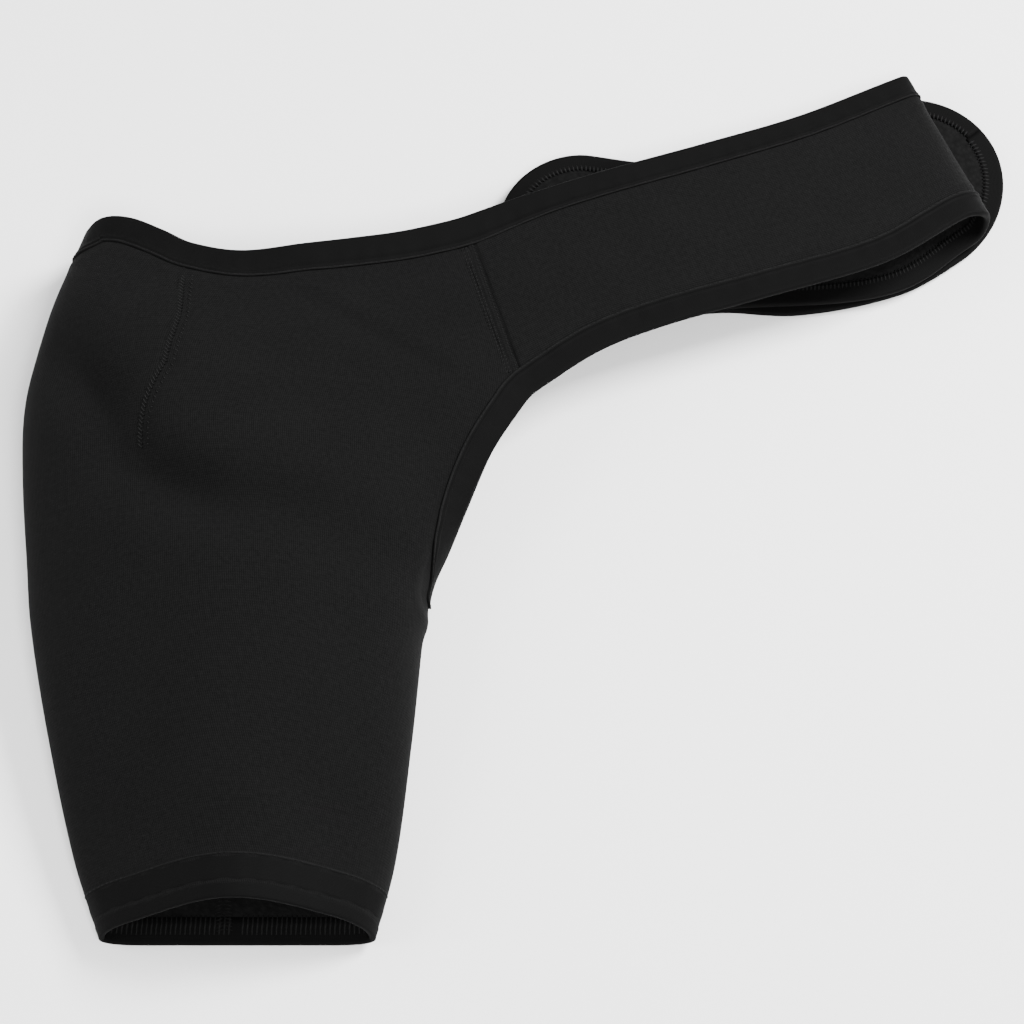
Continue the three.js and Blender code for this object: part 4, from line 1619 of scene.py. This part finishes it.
@dataclass
class Sleeve:
    """The sleeve's neoprene: two panels in one shell, with the dart's seam and the one inside."""

    cut: Cut
    form: SleeveForm
    rack: Rack
    seams: tuple[StrapSeam, StrapSeam]
    columns: tuple[int, int] = (184, 48)
    levels: int = 208
    flat: tuple[float, float] = (0.44, 0.42)
    # The dart's middle line from the neck down, as pairs of the form's parameters.
    dart: tuple[tuple[float, float], ...] = (
        (0.2585, 0.9655), (0.2575, 0.91), (0.2572, 0.856), (0.266, 0.7875),
        (0.275, 0.725), (0.285, 0.671), (0.293, 0.631), (0.297, 0.613),
    )
    dart_deep: float = 0.0004
    dart_wide: float = 0.0036
    dart_swell_at: float = 0.009
    dart_swell_wide: float = 0.004
    dart_fade: float = 0.006
    inside_across: float = 0.735
    inside_from: float = 0.012
    inside_to: float = 0.12
    inside_count: int = 60
    hole_lines: tuple[float, float, float] = (-0.0042, -0.0010, 0.0026)
    hole_deep: float = 0.0005
    hole_wide: float = 0.0007

    def dart_ribbon(self, count: int = 160) -> Ribbon:
        """The surface either side of the dart's middle line, a curve through its table of places.

        Args:
            count: points on the line.

        Returns:
            The ribbon, its positive side towards the straps.
        """
        table = np.array(self.dart)
        keys = np.arange(len(table), dtype=float)
        at = np.linspace(0, keys[-1], count)
        a, b = column_curve(keys, table[:, 0], at), column_curve(keys, table[:, 1], at)
        return Ribbon.beside(self.form, a, b, 8, 1)

    def neoprene(self, edges: list[Array]) -> Piece:
        """The shell: the form's middle surface with a face either side.

        The cloth is pressed thinner under the tape, swells beside it, and dips along the dart and at
        the strap seams.

        Args:
            edges: the lines of the taped edges.

        Returns:
            The piece.
        """
        c, form = self.cut, self.form
        across = np.concatenate([
            np.linspace(0, 0.5, self.columns[0] + 1), np.linspace(0.5, 1, self.columns[1] + 1)[1:],
        ])
        at = np.unique(np.concatenate([np.linspace(0, 1, self.levels + 1), [c.armpit, c.seam]]))
        a, b = np.meshgrid(across, at)
        point, _, _, normal = form.frame(a, b)
        from_neck = distance_to_line(point, edges[0]) - (c.neck_width - c.tape_width)
        edge_distance = np.minimum(from_neck, distance_to_line(point, np.concatenate(edges[1:])))
        front = a < 0.5
        dart = self.dart_ribbon()
        dart_line, _ = dart.line(np.full(len(dart.points), 0.0), 0.0)
        dart_distance = np.where(front, distance_to_line(point, dart_line), 1.0)
        outer, inner = Press().faces(c, edge_distance)
        clear = smoothstep(edge_distance, c.tape_width, c.tape_width + self.dart_fade)
        swell = self.dart_deep * bell(dart_distance - self.dart_swell_at, self.dart_swell_wide)
        outer -= clear * (self.dart_deep * bell(dart_distance, self.dart_wide) - swell)
        for place in self.hole_lines:
            holes, _ = dart.line(np.full(len(dart.points), place), 0.0)
            dip = self.hole_deep * bell(distance_to_line(point, holes), self.hole_wide)
            outer -= clear * np.where(front, dip, 0.0)
        for seam, side in zip(self.seams, (front, ~front)):
            near = np.where(side, 1 - smoothstep(distance_to_line(point, seam.join_line), 0, seam.ease), 0.0)
            normal = seam.leant(normal, (b - c.seam) / (1 - c.seam), near, seam.sleeve_lean)
            outer -= np.where(side, seam.ditch_depth(point), 0.0)
            outer -= np.where(side, seam.holes(point), 0.0)
        steps_a = np.linalg.norm(np.diff(point, axis=1), axis=-1)
        u = np.concatenate([np.zeros((len(at), 1)), np.cumsum(steps_a, 1)], 1)
        u -= u[:, self.columns[0]][:, None]
        steps_b = np.linalg.norm(np.diff(point, axis=0), axis=-1)
        v = np.concatenate([np.zeros((1, len(across))), np.cumsum(steps_b, 0)])
        weld = np.arange(a.size).reshape(a.shape)
        closed = at <= c.armpit + 1e-9
        weld[closed, -1] = weld[closed, 0]
        top, bottom = point + normal * outer[..., None], point - normal * inner[..., None]
        return shell("sleeve_neoprene", Slot.NEOPRENE, top, bottom, np.stack([u, v], -1), weld)

    def dart_rows(self) -> Rows:
        """The dart's two columns: long threads leaning down to the right, and a row of short ones."""
        ribbon = self.dart_ribbon()
        middle, high = np.zeros(len(ribbon.points)), self.cut.wall / 2 - 0.0004
        long = Flatlock(pitch=0.002).columns(ribbon, middle, [(-0.0042, -0.0010, 0.0024)], high)
        return long + Flatlock(pitch=0.0027).columns(ribbon, middle, [(0.0016, 0.0034, 0.0007)], high)

    def inside_rows(self) -> Rows:
        """The overlock seam up the middle of the back panel's inner face, near the cuff."""
        count = self.inside_count
        at = np.linspace(self.inside_from, self.inside_to, count)
        a = np.full(count, self.inside_across)
        ribbon = Ribbon.beside(self.form, a, at, 6, -1)
        places = [(-0.0042, -0.0002, 0.0012), (0.0042, 0.0002, 0.0012)]
        return Flatlock(pitch=0.0018).columns(ribbon, np.zeros(count), places, self.cut.wall / 2 + 0.0001)

    def build(self, edges: list[Array]) -> None:
        """Make the sleeve's pieces."""
        rack = self.rack
        body = self.neoprene(edges).build([rack.jersey, rack.lining], ("sleeve_body",))
        rows = self.dart_rows()
        dart = DART_THREAD.piece("dart_stitches", Slot.TAPE, rows).build([rack.thread])
        # Painted shade: dark beads at the dart's needle holes.
        holes = hole_shade_beads("dart_hole_shade_beads", rows).build([rack.painted_hole_shade])
        inside = DART_THREAD.piece("inside_seam_stitches", Slot.TAPE, self.inside_rows())
        inside = inside.build([rack.edge_thread])


@dataclass
class Strap:
    """One strap's neoprene, with the stitching of the seam that joins it to the sleeve."""

    cut: Cut
    form: StrapForm
    rack: Rack
    seam: StrapSeam
    name: str
    node: str
    flat: tuple[float, float]
    area: float
    spacing: float = 0.0024
    dense: float = 0.010
    held: str = "laid"
    sway: float = 0.00022
    sway_long: float = 0.047
    sway_lean: float = 31
    sway_rises: tuple[float, float] = (0.01, 0.04)
    sway_clear: float = 0.03

    def neoprene(self) -> Piece:
        """The strap's shell: rows across it, closest by the seam and drawn in to the rounded end.

        Returns:
            The piece.
        """
        c, form = self.cut, self.form
        reach = form.tongue - c.tape - c.clearance
        turn = np.radians(np.linspace(0, 90, 34)[1:])
        rows = np.linspace(self.dense, form.end, round(form.end / self.spacing))
        rows = np.concatenate([np.linspace(0, self.dense, 21)[:-1], rows])
        along = np.concatenate([rows, form.end + reach * np.sin(turn)])
        half = np.concatenate([form.half(rows), form.half(np.array(form.end)) * np.cos(turn)])
        half = np.maximum(half, 1e-5)
        share = np.sin(np.linspace(-math.pi / 2, math.pi / 2, 45)) * 0.35 + np.linspace(-1, 1, 45) * 0.65
        a, b = np.broadcast_arrays(along[:, None], half[:, None] * share[None, :])
        point, _, _, normal = form.frame(a, b)
        past = np.maximum(a - form.end, 0)
        wide = form.half(np.array(form.end))
        round_in = (1 - np.sqrt((past / reach) ** 2 + (b / wide) ** 2)) * reach
        edge_distance = np.where(a > form.end, round_in, half[:, None] - np.abs(b))
        share = (b / c.seam_half + 1) / 2
        normal = self.seam.leant(normal, share, 1 - smoothstep(a, 0, self.seam.ease), self.seam.strap_lean)
        outer, inner = Press().faces(c, edge_distance)
        outer -= self.seam.ditch_depth(point)
        sway = np.sin(a * 2 * math.pi / self.sway_long + b * self.sway_lean)
        sway *= smoothstep(a, *self.sway_rises)
        outer += self.sway * sway * smoothstep(edge_distance, c.tape_width, self.sway_clear)
        uv = np.stack([b, a], -1)
        weld = np.arange(a.size).reshape(a.shape)
        weld[-1] = weld[-1, 0]
        top, bottom = point + normal * outer[..., None], point - normal * inner[..., None]
        return shell(self.name, Slot.NEOPRENE, top, bottom, uv, weld)

    def build(self) -> None:
        """Make the strap's pieces."""
        rack = self.rack
        body = self.neoprene().build([rack.jersey, rack.lining], (self.node,))
        stem = self.name.replace("neoprene", "seam")
        threads = self.seam.threads()
        rows = SEAM_THREAD.piece(stem + "_stitches", Slot.TAPE, threads).build([rack.thread])
        # Painted shade: dark beads at the seam's needle holes.
        holes = hole_shade_beads(stem + "_hole_shade_beads", threads).build([rack.painted_hole_shade])
        lap = self.seam.lap(stem + "_lap").build([rack.jersey, rack.jersey])


@dataclass
class Edging:
    """One run of binding tape with its stitches."""

    name: str
    node: str
    hem: Hem
    binding: Binding
    rack: Rack
    flat: tuple[float, float]
    closed: bool = False

    def build(self) -> None:
        """Make the tape, the straight stitches by its edge and the threads on its inner face."""
        rack, binding = self.rack, self.binding
        tape = binding.sheet(self.name, self.hem, self.closed).build([rack.tape, rack.tape], (self.node,))
        sewn = EDGE_THREAD.piece(self.name + "_stitches", Slot.TAPE, binding.lockstitch(self.hem))
        stitches = sewn.build([rack.edge_thread])
        ribs = LOOPER_THREAD.piece(self.name + "_looper", Slot.TAPE, binding.ribs(self.hem))
        looper = ribs.build([rack.edge_thread])


@dataclass
class HookPatch:
    """The patch of hook tape on the back strap, under the front strap's tongue."""

    cut: Cut
    form: StrapForm
    length: float = 0.062
    width: float = 0.044
    place: float = 0.62
    corner: float = 0.005
    stitch: float = 0.002
    pitch: float = 0.0027

    def packed_shift(self) -> Array:
        """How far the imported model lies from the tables' own frame, which the form is still in.

        The patch's corners are the same points in both, so the two boxes' lowest corners differ by it.

        Returns:
            The shift.
        """
        form = self.form
        along = self.place * form.end + np.linspace(-0.5, 0.5, 5) * self.length
        corners = form.point(along[:, None], np.linspace(-0.5, 0.5, 3)[None, :] * self.width)
        low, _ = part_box("hook_patch")
        return np.array([low.x - corners[..., 0].min(), low.y - corners[..., 1].min(), 0.0])

    def build(self, rack: Rack) -> None:
        """Make the plate, its corners rounded by drawing the rows in, and the stitches round it."""
        c, form = self.cut, self.form
        middle = self.place * form.end
        along = np.linspace(-0.5, 0.5, 33) * self.length
        over = np.maximum(np.abs(along) - (self.length / 2 - self.corner), 0)
        half = self.width / 2 - self.corner + np.sqrt(np.maximum(self.corner**2 - over**2, 0))
        aside = half[:, None] * np.linspace(-1, 1, 25)[None, :]
        a, b = np.broadcast_arrays(middle + along[:, None], aside)
        flat = form.point(a, b)
        low, high = flat.copy(), flat.copy()
        low[..., 2] = c.lay + c.wall / 2 + c.gap
        high[..., 2] = c.second_lay - c.wall / 2 - c.gap
        plate = shell("hook_patch_pile", Slot.HOOK, high, low, np.stack([b, a], -1))
        made = plate.build([rack.hook, rack.hook], ("hook_patch",))
        ring = np.concatenate([high[2:-2, 1], high[-3, 1:-1], high[2:-2, -2][::-1], high[2, 1:-1][::-1]])
        run = arc_length(ring)
        first = np.arange(MM, run[-1] - 3 * MM, self.pitch)
        up = np.tile([0.0, 0.0, 1.0], (len(first), 1))
        rows = [(pick(ring, run, first), pick(ring, run, first + self.stitch), up)]
        sewn = PATCH_THREAD.piece("hook_patch_stitches", Slot.HOOK, rows).build([rack.edge_thread])


VIEW_CENTRE = (0.134, 0.215, 0.030)  # what the camera and the lamps face, in the tables' own frame
# The lamps: name, place, side in metres and watts.
LAMPS = (
    ("key_lamp", (1.15, 0.65, 1.35), 0.6, 97),
    ("left_lamp", (-1.5, -0.1, 0.9), 1.0, 31),
    ("right_lamp", (1.5, 0, 1.0), 1.0, 12),
    ("front_lamp", (0.3, -0.9, 1.8), 0.6, 46),
)


@dataclass(frozen=True)
class Studio:
    """The floor, the lights and the camera."""

    target: tuple[float, float, float]
    elevation: float = 70.0
    distance: float = 1.45
    lens: float = 100.0
    sensor: float = 36.0
    floor_half: float = 4.0
    floor_height: float = -0.0002
    sky: float = 0.55

    def floor(self, finish: bpy.types.Material) -> None:
        """A wide plain floor under the brace."""
        side = np.array([(-1, -1), (1, -1), (1, 1), (-1, 1)]) * self.floor_half
        points = np.column_stack([side, np.full(len(side), self.floor_height)])
        mesh = bpy.data.meshes.new("floor")
        mesh.from_pydata(points.tolist(), [], [(0, 1, 2, 3)])
        mesh.materials.append(finish)
        made = bpy.data.objects.new("floor", mesh)
        bpy.context.scene.collection.objects.link(made)

    def lamp(self, name: str, place: tuple[float, float, float], size: float, power: float) -> None:
        """A soft square lamp that faces the brace.

        Args:
            name: the lamp's name.
            place: where it hangs.
            size: its side in metres.
            power: its watts.
        """
        light = bpy.data.lights.new(name, "AREA")
        light.shape = "SQUARE"
        light.size = size
        light.energy = power
        made = bpy.data.objects.new(name, light)
        made.location = place
        back = np.array(place) - np.array(self.target)
        tip = math.atan2(math.hypot(back[0], back[1]), back[2])
        made.rotation_euler = (tip, 0, math.atan2(back[0], -back[1]))
        bpy.context.scene.collection.objects.link(made)

    def camera(self) -> None:
        """The camera at the photograph's angle: up from the front, looking down at the target."""
        tall = math.radians(self.elevation)
        back = np.array([0, -math.cos(tall), math.sin(tall)])
        data = bpy.data.cameras.new("camera")
        data.lens = self.lens
        data.sensor_width = self.sensor
        made = bpy.data.objects.new("camera", data)
        made.location = np.array(self.target) + back * self.distance
        made.rotation_euler = (math.radians(90) - tall, 0, 0)
        bpy.context.scene.collection.objects.link(made)
        bpy.context.scene.camera = made

    def build(self) -> None:
        """Set up everything that isn't the brace."""
        self.floor(TableTop().make())
        self.camera()
        for lamp in LAMPS:
            self.lamp(*lamp)
        world = bpy.data.worlds.new("studio")
        world.use_nodes = True
        sky = world.node_tree.nodes["Background"]
        sky.inputs["Color"].default_value = (1, 1, 1, 1)
        sky.inputs["Strength"].default_value = self.sky
        bpy.context.scene.world = world


class Edges:
    """The brace's three taped edges, and the sleeve's own raw ones."""

    spacing: float = 0.002
    strap_draw: tuple[float, float] = (0.15, 0.06)  # share of the width, and how soon it is reached
    armpit_draw: tuple[float, float, float] = (0.55, 0.002, 0.03)  # share, and where it fades out

    def __init__(self, sleeve: SleeveForm, front: StrapForm, back: StrapForm) -> None:
        """Choose the three tapes, and follow the raw edges of the sleeve."""
        cut = sleeve.cut
        self.sleeve, self.front, self.back = sleeve, front, back
        self.tape = Binding(cut.tape_width, cut.inner_width)
        self.neck_tape = Binding(cut.neck_width, cut.inner_width)
        self.band = Binding(
            cut.cuff_band, 0.0125, pressed=0.0011, tape=0.0006, doubled=0.0, rib_pitch=0.0024,
            rib_reach=(-0.009, 0.001), lip_at=0.0068,
        )
        self.stops, self.neck_stops = hem_stops(self.tape), hem_stops(self.neck_tape)
        across = np.linspace(0, 1, 420)
        one = np.ones_like(across)
        self.neck_edge = Hem.along(sleeve, across, one, (across, one * 0.97), self.neck_stops)
        at = np.linspace(cut.armpit + 0.004, cut.seam, 140)
        zero = np.zeros_like(at)
        self.front_side = Hem.along(sleeve, zero, at, (zero + 0.02, at), self.stops)
        self.back_side = Hem.along(sleeve, zero + 1, at, (zero + 0.98, at), self.stops)

    @property
    def lines(self) -> list[Array]:
        """The raw edges: the neck's first, then the two sides of the underarm."""
        return [hem.points[:, 0] for hem in (self.neck_edge, self.front_side, self.back_side)]

    @staticmethod
    def strap_side(form: StrapForm, side: float, stops: Array) -> Hem:
        """The hem down one side of a strap, from the seam to the tip.

        Args:
            form: the strap.
            side: 1 for the neck's edge, -1 for the other.
            stops: distances in from the edge.

        Returns:
            The hem.
        """
        along, aside = form.edge(side, 240)
        inside = (np.minimum(along, form.end) - MM, aside * 0.2)
        hem = Hem.along(form, along, aside, inside, stops)
        return Hem(hem.points[:-1], hem.normals[:-1], stops)

    def armpit(self) -> Hem:
        """The underarm hem's turn about the armpit.

        The way in swings from the front panel down to the back one. It is the cosine of the turn times
        the way up the side, less its sine times the way up the sleeve.

        Returns:
            The hem.
        """
        turn = np.radians(np.linspace(4, 176, 31))
        a, b = np.zeros(len(turn)), np.full(len(turn), self.sleeve.cut.armpit - 0.002)
        _, along_a, along_b, _ = self.sleeve.frame(a, b)
        up = unit(along_a)
        way = unit(along_b - (along_b * up).sum(-1, keepdims=True) * up)
        into = np.cos(turn)[:, None] * up - np.sin(turn)[:, None] * way
        points, normals = self.sleeve.walk(a, b, into, self.stops)
        return Hem(points, normals, self.stops)

    def neck(self) -> Hem:
        """The neck side's hem, from the front strap's tip to the back strap's, narrower on the straps."""
        front, back = (self.strap_side(form, 1, self.neck_stops) for form in (self.front, self.back))
        hem = Hem.joined([front.turned_back(), self.neck_edge, back], self.spacing)
        from_neck = distance_to_line(hem.points[:, 0], self.neck_edge.points[:, 0])
        share, far = self.strap_draw
        return hem.drawn_in(1 - share * smoothstep(from_neck, 0.0, far))

    def underarm(self) -> Hem:
        """The underarm side's hem, from the front strap's tip to the back strap's, narrow at the armpit."""
        front, back = (self.strap_side(form, -1, self.stops) for form in (self.front, self.back))
        parts = [front.turned_back(), self.front_side.turned_back(), self.armpit(), self.back_side, back]
        hem = Hem.joined(parts, self.spacing)
        armpit = self.sleeve.point(np.array([0.0]), np.array([self.sleeve.cut.armpit]))
        from_armpit = np.linalg.norm(hem.points[:, 0] - armpit, axis=-1)
        share, near, far = self.armpit_draw
        return hem.drawn_in(1 - share * (1 - smoothstep(from_armpit, near, far)))

    def cuff(self) -> Hem:
        """The cuff's hem, a closed ring."""
        ring = np.linspace(0.75, 1.75, 400) % 1.0
        rim = Hem.along(self.sleeve, ring, ring * 0, (ring, ring * 0 + 0.03), hem_stops(self.band))
        return Hem.joined([rim], self.spacing, closed=True)


def main() -> None:
    """Build the brace and the studio, and report each piece."""
    logging.basicConfig(level=logging.INFO, format="%(name)s %(message)s")
    cut, rack = Cut(), Rack()
    roots = cut.seam_middle, cut.seam_middle + (0, cut.back_tuck)
    front = StrapForm(cut, FRONT_ROWS, cut.front_reach, roots[0], cut.second_lay, -1, cut.front_tongue, 1)
    back = StrapForm(cut, BACK_ROWS, cut.back_reach, roots[1], cut.lay, 1, cut.back_tongue, -1)
    patch = HookPatch(cut, back)
    shift = patch.packed_shift()
    front.shift = back.shift = shift
    sleeve = SleeveForm(cut, shift)
    LOG.info("shift %s", shift)

    edges = Edges(sleeve, front, back)
    seams = StrapSeam(cut, sleeve, front, 0.0), StrapSeam(cut, sleeve, back, 1.0)
    Sleeve(cut, sleeve, rack, seams).build(edges.lines)
    Strap(
        cut, front, rack, seams[0], "front_strap_neoprene", "front_strap", (0.106, 0.53), 0.0505,
        held="folded",
    ).build()
    Strap(cut, back, rack, seams[1], "back_strap_neoprene", "back_strap", (0.106, 0.29), 0.0273).build()
    Edging("neck_tape", "neck_binding", edges.neck(), edges.neck_tape, rack, (0.0303, 1.2)).build()
    Edging("underarm_tape", "underarm_binding", edges.underarm(), edges.tape, rack, (0.0296, 1.11)).build()
    Edging("cuff_tape", "cuff_binding", edges.cuff(), edges.band, rack, (0.04, 0.3), True).build()
    patch.build(rack)

    target = np.array(VIEW_CENTRE) + shift
    Studio(tuple(target)).build()


if __name__ == "__main__":
    main()
